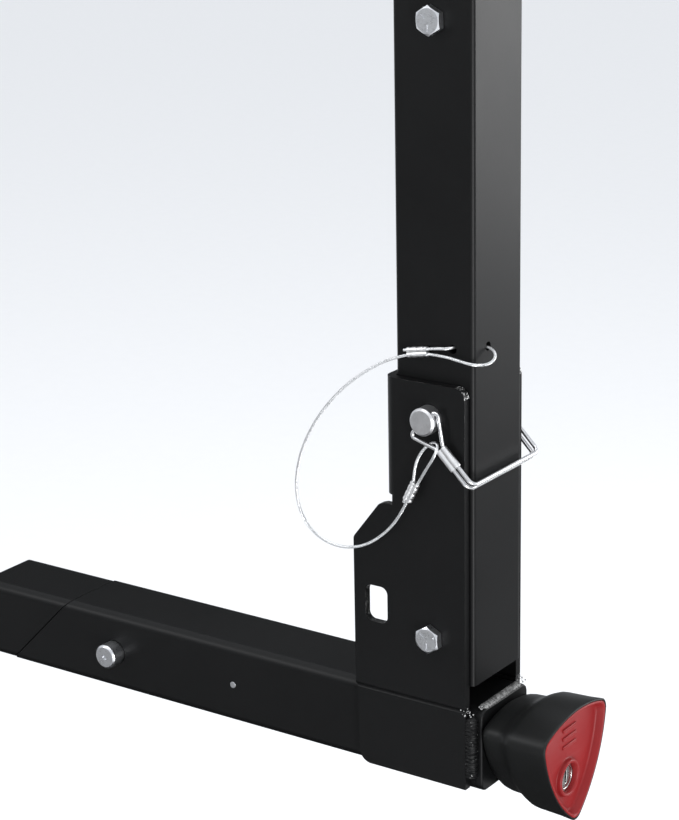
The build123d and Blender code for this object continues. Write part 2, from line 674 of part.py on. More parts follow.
with BuildPart() as arm_crossbar:
    bar(-ARM_Y - 24, ARM_Y + 24, CROSS_X, ARM_Z, CROSS_R)
    bar(-ARM_Y - 25, ARM_Y + 25, CROSS_X, ARM_Z, CROSS_R - 2.5, Mode.SUBTRACT)
save(arm_crossbar, "arm_crossbar")

SIDES = (("near", -ARM_Y), ("far", ARM_Y))

for side_name, y in SIDES:
    with BuildPart() as arm_tube:
        with BuildSketch(across(CROSS_X)):
            with Locations((y, ARM_Z)):
                Circle(ARM_R)
                Circle(ARM_R - 2.0, mode=Mode.SUBTRACT)
        extrude(amount=ARM_END - CROSS_X)
        bar(-ARM_Y - 30, ARM_Y + 30, CROSS_X, ARM_Z, CROSS_R, Mode.SUBTRACT)
    save(arm_tube, f"arm_tube_{side_name}")

with BuildPart() as arm_plugs:
    for _, y in SIDES:
        with BuildSketch(across(ARM_END)):
            with Locations((y, ARM_Z)):
                Circle(ARM_R)
        extrude(amount=3)
        with BuildSketch(across(ARM_END)):
            with Locations((y, ARM_Z)):
                Circle(ARM_R - 2.05)
        extrude(amount=-12)
save(arm_plugs, "arm_plugs")

with BuildPart() as crossbar_plugs:
    for direction in (-1, 1):
        end = direction * (ARM_Y + 24)
        with BuildSketch(side(end)):
            with Locations((CROSS_X, ARM_Z)):
                Circle(CROSS_R)
        extrude(amount=-direction * 3)
        with BuildSketch(side(end)):
            with Locations((CROSS_X, ARM_Z)):
                Circle(CROSS_R - 2.55)
        extrude(amount=direction * 12)
save(crossbar_plugs, "crossbar_plugs")

# Spring plunger that holds the arms: its nose is stored level with the plate's inner face

PLATE_FACE = -HALF - HEAD_PLATE

with BuildPart() as plunger_body:
    bar(PLATE_FACE - 14, PLATE_FACE, PLUNGER_X, PLUNGER_Z, 6.0)
    with BuildSketch(side(PLATE_FACE)):
        with Locations((PLUNGER_X, PLUNGER_Z)):
            RegularPolygon(7.0, 6, major_radius=False)
    extrude(amount=5)
    bar(PLATE_FACE - 15, PLATE_FACE + 1, PLUNGER_X, PLUNGER_Z, PLUNGER_R + RUN, Mode.SUBTRACT)
save(plunger_body, "plunger_body")

with BuildPart() as plunger_pin:
    bar(PLATE_FACE - 17, -HALF, PLUNGER_X, PLUNGER_Z, PLUNGER_R)
    bar(PLATE_FACE - 30, PLATE_FACE - 14.4, PLUNGER_X, PLUNGER_Z, 9.0)
    chamfer(plunger_pin.faces().sort_by(Axis.Y)[0].edges(), 1.5)
save(plunger_pin, "plunger_pin")

# Cradles on the arm tubes, and the rubber strap over each, held by a headed peg on both sides

SADDLE_R = 20.0
SADDLE_Z = ARM_Z + 46.0
CRADLE_LOW, CRADLE_HIGH = ARM_Z - 23.0, ARM_Z + 44.0
CRADLE_HALF = 35.0
CRADLE_WIDE = 40.0
STRAP_THICK = 3.6
STRAP_WIDE = 22.0
STRAP_END = ARM_Z + 19.5
STRAP_TOP = ARM_Z + 66.0
PEG_R = 3.0
PEG_Z = ARM_Z + 28.0

for number in range(1, CRADLES + 1):
    x = CROSS_X + 110.0 + (number - 1) * CRADLE_STEP
    for side_name, y in SIDES:
        with BuildPart() as cradle:
            with BuildSketch(side(y + CRADLE_WIDE / 2)):
                with BuildLine():
                    FilletPolyline((x - 24, CRADLE_LOW), (x + 24, CRADLE_LOW), (x + CRADLE_HALF, ARM_Z - 4),
                                   (x + CRADLE_HALF, CRADLE_HIGH), (x - CRADLE_HALF, CRADLE_HIGH),
                                   (x - CRADLE_HALF, ARM_Z - 4), radius=5, close=True)
                make_face()
                with Locations((x, SADDLE_Z)):
                    Circle(SADDLE_R, mode=Mode.SUBTRACT)
            extrude(amount=CRADLE_WIDE)
            with BuildSketch(across(x - CRADLE_HALF)):
                with Locations((y, ARM_Z)):
                    Circle(ARM_R + RUN)
            extrude(amount=2 * CRADLE_HALF, mode=Mode.SUBTRACT)
            for outward in (-1, 1):
                peg = Plane((x + outward * CRADLE_HALF, y, PEG_Z), z_dir=(outward, 0, 0))
                with BuildSketch(peg):
                    Circle(PEG_R)
                extrude(amount=STRAP_THICK + 0.2)
                with BuildSketch(peg.offset(STRAP_THICK + 0.2)):
                    Circle(PEG_R + 2.5)
                extrude(amount=2.5)
        save(cradle, f"cradle_{side_name}_{number}")
        with BuildPart() as strap:
            edge = CRADLE_HALF + STRAP_THICK / 2
            with BuildSketch(side(y + STRAP_WIDE / 2)):
                with BuildLine():
                    FilletPolyline((x - edge, STRAP_END), (x - edge, ARM_Z + 47), (x - 17, STRAP_TOP),
                                   (x + 17, STRAP_TOP), (x + edge, ARM_Z + 47), (x + edge, STRAP_END),
                                   radius=10)
                    offset(amount=STRAP_THICK / 2)
                make_face()
            extrude(amount=STRAP_WIDE)
            with BuildSketch(across(x - CRADLE_HALF - 5)):
                with Locations((y, PEG_Z)):
                    Circle(PEG_R + 0.1)
            extrude(amount=2 * CRADLE_HALF + 10, mode=Mode.SUBTRACT)
        save(strap, f"strap_{side_name}_{number}")
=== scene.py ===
"""Finish of a hitch mounted bike rack: painted steelwork, bolts, lock pin, lanyard, knob and cradles."""

import json
from math import atan2, cos, pi, radians, sin, sqrt, tan
from random import Random

import bmesh
import bpy
from bpy.props import FloatProperty, FloatVectorProperty, IntProperty, PointerProperty
from mathutils import Matrix, Vector


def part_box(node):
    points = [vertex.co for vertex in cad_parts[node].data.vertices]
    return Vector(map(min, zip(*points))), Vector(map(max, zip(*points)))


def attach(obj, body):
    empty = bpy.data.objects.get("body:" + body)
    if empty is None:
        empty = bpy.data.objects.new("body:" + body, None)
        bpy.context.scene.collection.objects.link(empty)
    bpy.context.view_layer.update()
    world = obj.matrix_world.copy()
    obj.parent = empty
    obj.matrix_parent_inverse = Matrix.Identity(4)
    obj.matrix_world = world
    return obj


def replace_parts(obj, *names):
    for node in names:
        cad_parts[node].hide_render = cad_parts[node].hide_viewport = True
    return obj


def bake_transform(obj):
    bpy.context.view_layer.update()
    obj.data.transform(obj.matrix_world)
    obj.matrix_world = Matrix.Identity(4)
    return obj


bl_info = {
    "name": "Bike rack finish",
    "version": (1, 0, 0),
    "blender": (4, 5, 0),
    "location": "3D View > Sidebar > Rack",
    "description": "Builds the shown pieces and materials of a hitch mounted bike rack",
    "category": "Object",
}

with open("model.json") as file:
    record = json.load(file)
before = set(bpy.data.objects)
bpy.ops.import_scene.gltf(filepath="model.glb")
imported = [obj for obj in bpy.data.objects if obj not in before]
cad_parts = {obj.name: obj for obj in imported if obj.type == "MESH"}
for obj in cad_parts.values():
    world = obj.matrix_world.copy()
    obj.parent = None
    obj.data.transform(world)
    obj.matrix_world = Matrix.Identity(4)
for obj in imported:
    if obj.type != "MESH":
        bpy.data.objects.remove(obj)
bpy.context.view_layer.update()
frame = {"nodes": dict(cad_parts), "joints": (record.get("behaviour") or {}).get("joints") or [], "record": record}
NODES = frame["nodes"]
BODY_OF = {node: body for body, nodes in frame["record"]["behaviour"]["bodies"].items() for node in nodes}
COLOUR_OF = {entry["slot"]: entry["base_color"][:3] for entry in frame["record"]["materials"]}
AT = {joint["name"]: Vector(joint["pos_m"]) for joint in frame["joints"] if "pos_m" in joint}

MM = 0.001
PIVOT = AT["mast_tilt"]
ARM_PIVOT = AT["arms_fold"]
KEY = AT["key_turn"]
CRADLE_NODES = sorted(node for node in NODES if node.startswith("cradle_"))
STRAP_NODES = sorted(node for node in NODES if node.startswith("strap_"))


# ---------------------------------------------------------------- settings


class PaintSettings(bpy.types.PropertyGroup):
    """Black powder coat on the steelwork"""

    colour: FloatVectorProperty(
        name="Paint", description="Colour of the powder coat", subtype="COLOR",
        size=3, min=0.0, max=1.0, default=(0.0034, 0.0035, 0.0037),
    )
    roughness: FloatProperty(
        name="Roughness", description="Roughness of the powder coat", subtype="FACTOR",
        min=0.0, max=1.0, default=0.40,
    )
    edge: FloatProperty(
        name="Edge rounding", description="Radius of the painted plates' edges", unit="LENGTH",
        subtype="DISTANCE", min=0.0001, max=0.002, default=0.0006,
    )


class LanyardSettings(bpy.types.PropertyGroup):
    """Wire rope of the lock pin's lanyard"""

    diameter: FloatProperty(
        name="Rope diameter", description="Outside diameter of the wire rope", unit="LENGTH",
        subtype="DISTANCE", min=0.001, max=0.004, default=0.0017,
    )
    strands: IntProperty(
        name="Outer strands", description="Strands laid round the core", min=3, max=8, default=6,
    )
    lay: FloatProperty(
        name="Lay length", description="Length in which a strand goes once round", unit="LENGTH",
        subtype="DISTANCE", min=0.004, max=0.03, default=0.010,
    )


class KnobSettings(bpy.types.PropertyGroup):
    """Three-lobed knob with a coloured insert"""

    insert: FloatVectorProperty(
        name="Insert", description="Colour of the recessed insert", subtype="COLOR",
        size=3, min=0.0, max=1.0, default=(0.205, 0.0125, 0.0135),
    )
    body: FloatVectorProperty(
        name="Body", description="Colour of the knob's body", subtype="COLOR",
        size=3, min=0.0, max=1.0, default=(0.0052, 0.0055, 0.0055),
    )


class StageSettings(bpy.types.PropertyGroup):
    """Floor, lights and camera"""

    floor: FloatVectorProperty(
        name="Floor", description="Colour of the floor", subtype="COLOR",
        size=3, min=0.0, max=1.0, default=(0.88, 0.88, 0.885),
    )
    drop: FloatProperty(
        name="Floor below origin", description="Height of the hitch above the floor", unit="LENGTH",
        subtype="DISTANCE", min=0.6, max=2.0, default=0.8,
    )
    lens: FloatProperty(
        name="Lens", description="Focal length of the camera in millimetres", min=20.0, max=300.0,
        default=104.3,
    )


# ---------------------------------------------------------------- shader helpers


class Signal:
    """One output of a node, usable in plain arithmetic on single values."""

    def __init__(self, shader, socket):
        self.shader = shader
        self.socket = socket

    def combine(self, operation, *values):
        return self.shader.add("ShaderNodeMath", {"operation": operation}, dict(enumerate(values)))["Value"]

    def __add__(self, other):
        return self.combine("ADD", self, other)

    def __sub__(self, other):
        return self.combine("SUBTRACT", self, other)

    def __mul__(self, other):
        return self.combine("MULTIPLY", self, other)

    def __rsub__(self, other):
        return self.combine("SUBTRACT", other, self)

    __radd__ = __add__
    __rmul__ = __mul__

    def above(self, edge, soft):
        """0 below edge, 1 above it, with a ramp that is soft wide."""
        low, high = edge - soft / 2, edge + soft / 2
        return self.shader.add("ShaderNodeMapRange", {"clamp": True},
                               {"Value": self, "From Min": low, "From Max": high})["Result"]


class Shader:
    """A material with a Principled surface, and one method that adds any other node."""

    def __init__(self, name):
        self.material = bpy.data.materials.new(name)
        self.material.use_nodes = True
        self.tree = self.material.node_tree
        self.tree.nodes.clear()
        self.surface = self.tree.nodes.new("ShaderNodeBsdfPrincipled")
        output = self.tree.nodes.new("ShaderNodeOutputMaterial")
        self.tree.links.new(self.surface.outputs["BSDF"], output.inputs["Surface"])
        self.place = self.add("ShaderNodeTexCoord")["Object"]

    def fill(self, socket, value):
        if isinstance(value, Signal):
            self.tree.links.new(value.socket, socket)
        elif socket.type == "RGBA" and len(value) == 3:
            socket.default_value = (*value, 1.0)
        else:
            socket.default_value = value

    def add(self, kind, settings=None, sockets=None):
        """Adds a node: its settings first, then its sockets. Returns its outputs by name."""
        node = self.tree.nodes.new(kind)
        for key, value in (settings or {}).items():
            setattr(node, key, value)
        for key, value in (sockets or {}).items():
            self.fill(node.inputs[key], value)
        return {output.name: Signal(self, output) for output in node.outputs if output.enabled}

    def set(self, **values):
        """Sets sockets of the Principled surface, named with underscores for spaces."""
        for key, value in values.items():
            self.fill(self.surface.inputs[key.replace("_", " ")], value)
        return self

    def noise(self, scale, detail=2.0, roughness=0.5, vector=None):
        return self.add("ShaderNodeTexNoise", {}, {
            "Vector": vector or self.place, "Scale": scale, "Detail": detail, "Roughness": roughness})["Fac"]

    def stretched(self, scale):
        """Object coordinates, scaled apart along X, Y and Z."""
        return self.add("ShaderNodeMapping", {}, {"Vector": self.place, "Scale": scale})["Vector"]

    def height(self):
        """The Z coordinate, in metres."""
        return self.add("ShaderNodeSeparateXYZ", {}, {"Vector": self.place})["Z"]

    def blend(self, mask, first, second):
        """A colour between two, by a mask."""
        node = self.tree.nodes.new("ShaderNodeMix")
        node.data_type = "RGBA"
        for index, value in ((0, mask), (6, first), (7, second)):
            self.fill(node.inputs[index], value)
        return Signal(self, node.outputs[2])

    def bump(self, height, distance, strength=1.0, over=None):
        """A bump of the given height in metres, over another bump if one is given."""
        sockets = {"Height": height, "Distance": distance, "Strength": strength}
        if over:
            sockets["Normal"] = over
        return self.add("ShaderNodeBump", {}, sockets)["Normal"]


MATERIALS = {}


def material(make):
    """Decorator: builds a material once and hands out the same one afterwards."""

    def made():
        if make.__name__ not in MATERIALS:
            MATERIALS[make.__name__] = make().material
        return MATERIALS[make.__name__]

    return made


def shades(shader, colour, spread, mask):
    """The colour, a little darker and lighter by a mask."""
    darker = tuple(channel * (1 - spread) for channel in colour)
    lighter = tuple(min(1.0, channel * (1 + spread)) for channel in colour)
    return shader.blend(mask, darker, lighter)


# ---------------------------------------------------------------- materials


def coated(name, seam=None):
    """Satin black powder coat: fine orange peel, faint clouds, some dust, and a ground seam at a height."""
    paint = bpy.context.scene.rack_paint
    shader = Shader(name)
    ground = None
    if seam is not None:
        offset = shader.height() - seam
        ground = shader.bump((offset * offset * 1e6).above(1.2, 2.4), 0.0009, 1.0)
    cloud = shader.noise(14.0, 4.0, 0.6)
    peel = shader.noise(1300.0, 2.0, 0.55)
    swell = shader.noise(320.0, 2.0)
    dust = shader.noise(2600.0, 1.0).above(0.74, 0.04)
    return shader.set(
        Base_Color=shader.blend(dust * 0.5, shades(shader, paint.colour, 0.25, cloud), (0.03, 0.03, 0.03)),
        Roughness=cloud * 0.10 + peel * 0.06 + (paint.roughness - 0.08),
        Specular_IOR_Level=0.17,
        Normal=shader.bump(peel * 0.6 + swell * 0.4, 0.00006, 0.55, ground),
    )


@material
def powder_coat():
    return coated("powder coat")


@material
def seamed_coat():
    """The bracket's coat, over the seam where its upper plate meets the lower one."""
    return coated("seamed coat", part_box("insert_tube")[1].z)


@material
def cut_edge():
    """Paint over a cut edge: rough, with bright flecks painted into its colour as highlights, mostly high on the
    plates.
    """
    paint = bpy.context.scene.rack_paint
    shader = Shader("cut edge")
    drag = shader.noise(900.0, 3.0, 0.7)
    # Painted highlights: bright flecks on the cut edges, more of them high on the plates.
    edge_glint_pattern = (shader.noise(1100.0, 2.0, 0.7) * 0.6 + shader.noise(240.0, 2.0) * 0.4).above(0.55, 0.03)
    painted_edge_glints = edge_glint_pattern * (shader.height().above(PIVOT.z + 0.1, 0.05) * 0.9 + 0.1)
    return shader.set(
        Base_Color=shader.blend(painted_edge_glints, shades(shader, paint.colour, 0.4, drag), (0.62, 0.62, 0.61)),
        Roughness=0.46 - painted_edge_glints * 0.16,
        Specular_IOR_Level=0.35,
        Normal=shader.bump(drag, 0.00025, 0.7),
    )


@material
def painted_weld():
    """Weld bead under paint: rough skin, with scattered bright points painted into its colour as highlights."""
    paint = bpy.context.scene.rack_paint
    shader = Shader("painted weld")
    skin = shader.noise(1100.0, 4.0, 0.7)
    # Painted highlights: scattered bright points in the bead's colour.
    painted_glints = (skin * 0.5 + shader.noise(420.0, 2.0) * 0.5).above(0.655, 0.04)
    return shader.set(
        Base_Color=shader.blend(painted_glints, shades(shader, paint.colour, 0.5, skin), (0.60, 0.60, 0.59)),
        Roughness=0.46 - painted_glints * 0.14,
        Specular_IOR_Level=0.20,
        Normal=shader.bump(skin, 0.00030, 0.6),
    )


@material
def bright_weld():
    """Weld bead whose ripples are lighter grey in patches."""
    shader = Shader("bright weld")
    skin = shader.noise(1500.0, 4.0, 0.7)
    lighter_patches = (skin * 0.6 + shader.noise(500.0, 2.0) * 0.4).above(0.50, 0.16)
    return shader.set(
        Base_Color=shader.blend(lighter_patches, (0.03, 0.03, 0.03), (0.25, 0.25, 0.245)),
        Roughness=0.52 - lighter_patches * 0.16,
        Specular_IOR_Level=0.5,
        Normal=shader.bump(skin, 0.00022, 0.6),
    )


@material
def spatter():
    """Bright beads of weld spatter under a thin coat."""
    shader = Shader("spatter")
    skin = shader.noise(1300.0, 3.0, 0.6)
    return shader.set(
        Base_Color=shades(shader, (0.40, 0.40, 0.40), 0.5, skin),
        Metallic=0.7,
        Roughness=skin * 0.2 + 0.22,
    )


def plated(name, colour, roughness, grain, scale):
    """Bright metal with a fine brushed grain along one direction and faint stains."""
    shader = Shader(name)
    brushed = shader.noise(1.0, 4.0, 0.7, shader.stretched(scale))
    stain = shader.noise(260.0, 3.0, 0.6)
    return shader.set(
        Base_Color=shades(shader, colour, 0.34, stain * 0.4 + brushed * 0.6),
        Metallic=1.0,
        Roughness=brushed * grain + stain * 0.12 + (roughness - grain / 2 - 0.06),
        Normal=shader.bump(brushed, 0.00004, 0.6),
    )


@material
def zinc_plate():
    return plated("zinc plate", COLOUR_OF["zinc"], 0.30, 0.20, (900.0, 900.0, 5200.0))


@material
def drawn_wire():
    return plated("drawn wire", (0.66, 0.66, 0.67), 0.24, 0.10, (2600.0, 2600.0, 2600.0))


@material
def turned_pin():
    return plated("turned pin", (0.56, 0.56, 0.57), 0.38, 0.24, (4200.0, 1300.0, 900.0))


@material
def rope_steel():
    return plated("rope steel", (0.74, 0.75, 0.77), 0.28, 0.10, (2600.0, 2600.0, 2600.0))


@material
def pressed_aluminium():
    return plated("pressed aluminium", COLOUR_OF["ferrule_aluminium"], 0.34, 0.16, (1800.0, 1800.0, 1800.0))


@material
def lock_chrome():
    return plated("lock chrome", (0.52, 0.53, 0.51), 0.20, 0.10, (1500.0, 1500.0, 1500.0))


@material
def bare_drive_steel():
    return plated("bare drive steel", (0.42, 0.42, 0.43), 0.38, 0.2, (400.0, 2400.0, 2400.0))


def moulded(name, colour, roughness, grain_depth, specular=0.45):
    """Moulded plastic with a spark-eroded grain."""
    shader = Shader(name)
    grain = shader.noise(2300.0, 2.0, 0.6)
    sink = shader.noise(60.0, 2.0)
    return shader.set(
        Base_Color=shades(shader, colour, 0.10, sink),
        Roughness=grain * 0.12 + sink * 0.06 + (roughness - 0.09),
        Specular_IOR_Level=specular,
        Normal=shader.bump(grain, grain_depth, 0.6, shader.bump(sink, 0.0004, 0.12)),
    )


@material
def knob_plastic():
    return moulded("knob plastic", bpy.context.scene.rack_knob.body, 0.46, 0.00002, 0.24)


@material
def insert_plastic():
    return moulded("insert plastic", bpy.context.scene.rack_knob.insert, 0.42, 0.00002, 0.20)


@material
def plug_plastic():
    return moulded("plug plastic", (0.012, 0.012, 0.0125), 0.50, 0.00005, 0.16)


@material
def cradle_rubber():
    """Firm black rubber with a patchy dusty bloom."""
    shader = Shader("cradle rubber")
    grain = shader.noise(1500.0, 3.0, 0.65)
    bloom = shader.noise(45.0, 4.0, 0.6)
    return shader.set(
        Base_Color=shader.blend(bloom, (0.008, 0.008, 0.008), (0.019, 0.019, 0.0195)),
        Roughness=grain * 0.15 + bloom * 0.12 + 0.50,
        Specular_IOR_Level=0.28,
        Normal=shader.bump(grain, 0.00008, 0.6),
    )


@material
def strap_rubber():
    """Softer, slightly shinier rubber of the straps."""
    shader = Shader("strap rubber")
    grain = shader.noise(1900.0, 2.0, 0.6)
    return shader.set(
        Base_Color=shades(shader, (0.012, 0.012, 0.0125), 0.25, shader.noise(70.0, 3.0)),
        Roughness=grain * 0.16 + 0.46,
        Specular_IOR_Level=0.32,
        Normal=shader.bump(grain, 0.00006, 0.5),
    )


@material
def floor_paper():
    """Seamless pale backdrop paper."""
    stage = bpy.context.scene.rack_stage
    shader = Shader("floor paper")
    fibre = shader.noise(35.0, 3.0)
    return shader.set(
        Base_Color=shades(shader, stage.floor, 0.012, fibre),
        Roughness=fibre * 0.1 + 0.75,
        Specular_IOR_Level=0.2,
    )


# ---------------------------------------------------------------- mesh helpers

FACE_Y = Matrix(((1, 0, 0), (0, 0, -1), (0, 1, 0))).to_4x4()  # local Z to -Y, local X stays
FACE_X = Matrix(((0, 0, 1), (1, 0, 0), (0, 1, 0))).to_4x4()  # local Z to +X, local X to +Y


def new_piece(name, bm, body, materials, crease=38.0):
    """Turns a bmesh into a finished piece, which rides on a body if one is given.

    Faces that meet under the crease angle are shaded as one.
    """
    mesh = bpy.data.meshes.new(name)
    bm.to_mesh(mesh)
    bm.free()
    for shown in materials:
        mesh.materials.append(shown)
    mesh.polygons.foreach_set("use_smooth", [True] * len(mesh.polygons))
    mesh.set_sharp_from_angle(angle=radians(crease))
    piece = bpy.data.objects.new(name, mesh)
    bpy.context.scene.collection.objects.link(piece)
    if body:
        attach(piece, body)
    return piece


def even_shading(piece):
    """Lets the large faces lead the shading, so that flat plates stay flat beside their rounded edges."""
    weighted = piece.modifiers.new("even shading", "WEIGHTED_NORMAL")
    weighted.keep_sharp = True
    return piece


def softened(node, width, materials, segments=2, sharper_than=32.0, cut=lambda face: False, slices=()):
    """A CAD node's shape with its sharp edges rounded. A second material goes on these and on cut faces.

    Slices are places along X where faces are parted, so that the piece can bend. A sliced piece rides on no body.
    """
    bm = bmesh.new()
    bm.from_mesh(NODES[node].data)
    bmesh.ops.remove_doubles(bm, verts=bm.verts, dist=2e-6)
    bmesh.ops.dissolve_limit(bm, angle_limit=radians(0.4), verts=bm.verts, edges=bm.edges)
    for face in bm.faces:
        face.material_index = int(cut(face))
    limit = radians(sharper_than)
    sharp = [edge for edge in bm.edges if edge.is_manifold and edge.calc_face_angle() > limit]
    on_edges = len(materials) - 1 if len(materials) > 1 else -1
    bmesh.ops.bevel(bm, geom=sharp, offset=width, offset_type="OFFSET", segments=segments,
                    profile=0.5, affect="EDGES", clamp_overlap=True, material=on_edges)
    for at in slices:
        whole = bm.verts[:] + bm.edges[:] + bm.faces[:]
        bmesh.ops.bisect_plane(bm, geom=whole, plane_co=(at, 0, 0), plane_no=(1, 0, 0))
    piece = new_piece(f"{node}_shown", bm, None if slices else BODY_OF[node], materials)
    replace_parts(piece, node)
    return even_shading(piece)


def ring(bm, segments, radius_at, height_at, start=None):
    """Adds a closed ring of vertices, extruded from an earlier ring's edges if one is given.

    radius_at and height_at are functions of the angle. Returns the ring's edges.
    """
    if start is None:
        made = bmesh.ops.create_circle(bm, cap_ends=False, segments=segments, radius=1.0)
        verts = made["verts"]
    else:
        made = bmesh.ops.extrude_edge_only(bm, edges=start)
        verts = [item for item in made["geom"] if isinstance(item, bmesh.types.BMVert)]
    for vert in verts:
        angle = atan2(vert.co.y, vert.co.x)
        radius = radius_at(angle)
        vert.co = Vector((radius * cos(angle), radius * sin(angle), height_at(angle)))
    members = set(verts)
    return [edge for edge in bm.edges if edge.verts[0] in members and edge.verts[1] in members]


def stack(bm, segments, rows):
    """Rings joined in a row, from (radius_at, height_at) pairs. Returns the end rings."""
    first = last = None
    for radius_at, height_at in rows:
        last = ring(bm, segments, radius_at, height_at, last)
        first = first or last
    return first, last


def cap(bm, *rings):
    for edges in rings:
        bmesh.ops.contextual_create(bm, geom=edges)


def turned(bm, segments, profile, close=True):
    """A solid of (radius, height) pairs, with both ends capped if closed. Returns the end rings."""
    rows = [(lambda _, r=radius: r, lambda _, h=height: h) for radius, height in profile]
    ends = stack(bm, segments, rows)
    if close:
        cap(bm, *ends)
    return ends


HEX_SEGMENTS = 72
HEX_FACE = 0.47  # radius of a head's flat face, as a share of the width across flats
HEX_LEAD = 0.0006  # chamfer at a nut's bore


def hexagon(across_flats):
    """Radius of a hexagon at an angle."""

    def radius(angle):
        turn = (angle + pi / 6) % (pi / 3) - pi / 6
        return across_flats / 2 / cos(turn)

    return radius


def hex_solid(bm, across_flats, low, high, hole=None, chamfer_low=False):
    """A hexagon head or nut along local Z, its corners turned away at 30 degrees."""
    flat = hexagon(across_flats)
    face = across_flats * HEX_FACE
    drop = lambda angle: max(0.0, flat(angle) - face) * tan(radians(30))
    rows = [(flat, lambda _: low)]
    if chamfer_low:
        rows = [(lambda _: face, lambda _: low), (flat, lambda angle: low + drop(angle))]
    rows += [(flat, lambda angle: high - drop(angle)), (lambda _: face, lambda _: high)]
    if hole:
        rows += [(lambda _: hole + HEX_LEAD, lambda _: high),
                 (lambda _: hole, lambda _: high - HEX_LEAD),
                 (lambda _: hole, lambda _: low)]
    first, last = stack(bm, HEX_SEGMENTS, rows)
    if hole:
        bmesh.ops.bridge_loops(bm, edges=first + last)
    else:
        cap(bm, first, last)


def threaded_end(bm, matrix, radius, long, pitch):
    """A cut thread along local Z, moved by a matrix: a V profile spun into a helix round a core."""
    depth = 0.55 * pitch
    root = radius - depth
    turns = int(long / pitch) - 1
    steps = 20
    corners = [(root, 0.0), (radius, pitch * 0.45), (radius, pitch * 0.55), (root, pitch)]
    part = bmesh.new()
    verts = [part.verts.new((r, 0.0, h)) for r, h in corners]
    edges = [part.edges.new(pair) for pair in zip(verts, verts[1:])]
    bmesh.ops.spin(part, geom=verts + edges, cent=(0, 0, 0), axis=(0, 0, 1), dvec=(0, 0, pitch / steps),
                   angle=2 * pi * turns, steps=steps * turns, use_merge=False)
    bmesh.ops.remove_doubles(part, verts=part.verts, dist=pitch * 0.01)
    core = [(root, 0.0), (radius - depth * 0.9, long - pitch), (radius - depth * 1.6, long)]
    turned(part, 24, core)
    place(part, matrix)
    thread = bpy.data.meshes.new("thread")
    part.to_mesh(thread)
    part.free()
    bm.from_mesh(thread)
    bpy.data.meshes.remove(thread)


def place(bm, matrix, since=0):
    """Moves the vertices made since a count, by a matrix."""
    bm.verts.ensure_lookup_table()
    bmesh.ops.transform(bm, matrix=matrix, verts=bm.verts[since:])


def outward(bm):
    bmesh.ops.recalc_face_normals(bm, faces=bm.faces)


# ---------------------------------------------------------------- steelwork


class RACK_OT_steelwork(bpy.types.Operator):
    """Painted insert, bracket, mast and head plates, with rounded edges, and the mast's cap"""

    bl_idname = "rack.steelwork"
    bl_label = "Steelwork"

    def execute(self, context):
        edge = context.scene.rack_paint.edge
        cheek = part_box("mast_lower")[1].y

        def outline(face):
            return abs(face.normal.y) < 0.2 and min(abs(vert.co.y) for vert in face.verts) > cheek

        softened("bracket", edge, [seamed_coat(), cut_edge()], cut=outline)
        softened("insert_end_plate", edge, [powder_coat()])
        softened("insert_tube", edge, [powder_coat()])
        softened("head_plates", edge, [powder_coat(), cut_edge()])
        for node in ("mast_lower", "mast_upper", "mast_joiner"):
            softened(node, edge * 0.6, [powder_coat()])
        softened("mast_cap", edge * 0.6, [plug_plastic()])
        return {"FINISHED"}


# ---------------------------------------------------------------- welds

UPRIGHT_BEAD, TOP_BEAD, HEAD_BEAD = 0.0038, 0.0026, 0.0029  # radii of the beads
TOP_RIPPLE = 0.0012  # spacing of the ripples on the end plate's top edge


def weld_bead(bm, start, end, radius, pitch=0.0021, skin=0):
    """A closed bead from start to end: overlapping ripples, each bowed towards the end."""
    line = end - start
    count = int(line.length / pitch * 5)
    turn = line.to_track_quat("Z", "Y").to_matrix().to_4x4()
    since, faces_before = len(bm.verts), len(bm.faces)
    rows = []
    for step in range(count + 1):
        along = line.length * step / count
        taper = min(1.0, (step + 0.4) / 5, (count - step + 0.4) / 5)

        def swollen(angle, along=along, taper=taper):
            phase = (along / pitch + 0.25 * cos(2 * angle)) % 1.0
            wander = 1 + 0.05 * sin(along * 2300 + 3 * angle) + 0.04 * sin(along * 5100)
            return radius * taper**0.5 * wander * (0.90 + 0.14 * sqrt(phase))

        rows.append((swollen, lambda _, along=along: along))
    cap(bm, *stack(bm, 18, rows))
    place(bm, Matrix.Translation(start) @ turn, since)
    bm.faces.ensure_lookup_table()
    for face in bm.faces[faces_before:]:
        face.material_index = skin


def spatter_beads(bm, centre, spread, count, skin):
    """Small beads of metal scattered round a point."""
    chance = Random(count)
    for _ in range(count):
        at = Vector([chance.gauss(middle, reach / 2) for middle, reach in zip(centre, spread)])
        faces_before = len(bm.faces)
        size = chance.uniform(0.0002, 0.0006)
        bmesh.ops.create_icosphere(bm, subdivisions=2, radius=size, matrix=Matrix.Translation(at))
        bm.faces.ensure_lookup_table()
        for face in bm.faces[faces_before:]:
            face.material_index = skin


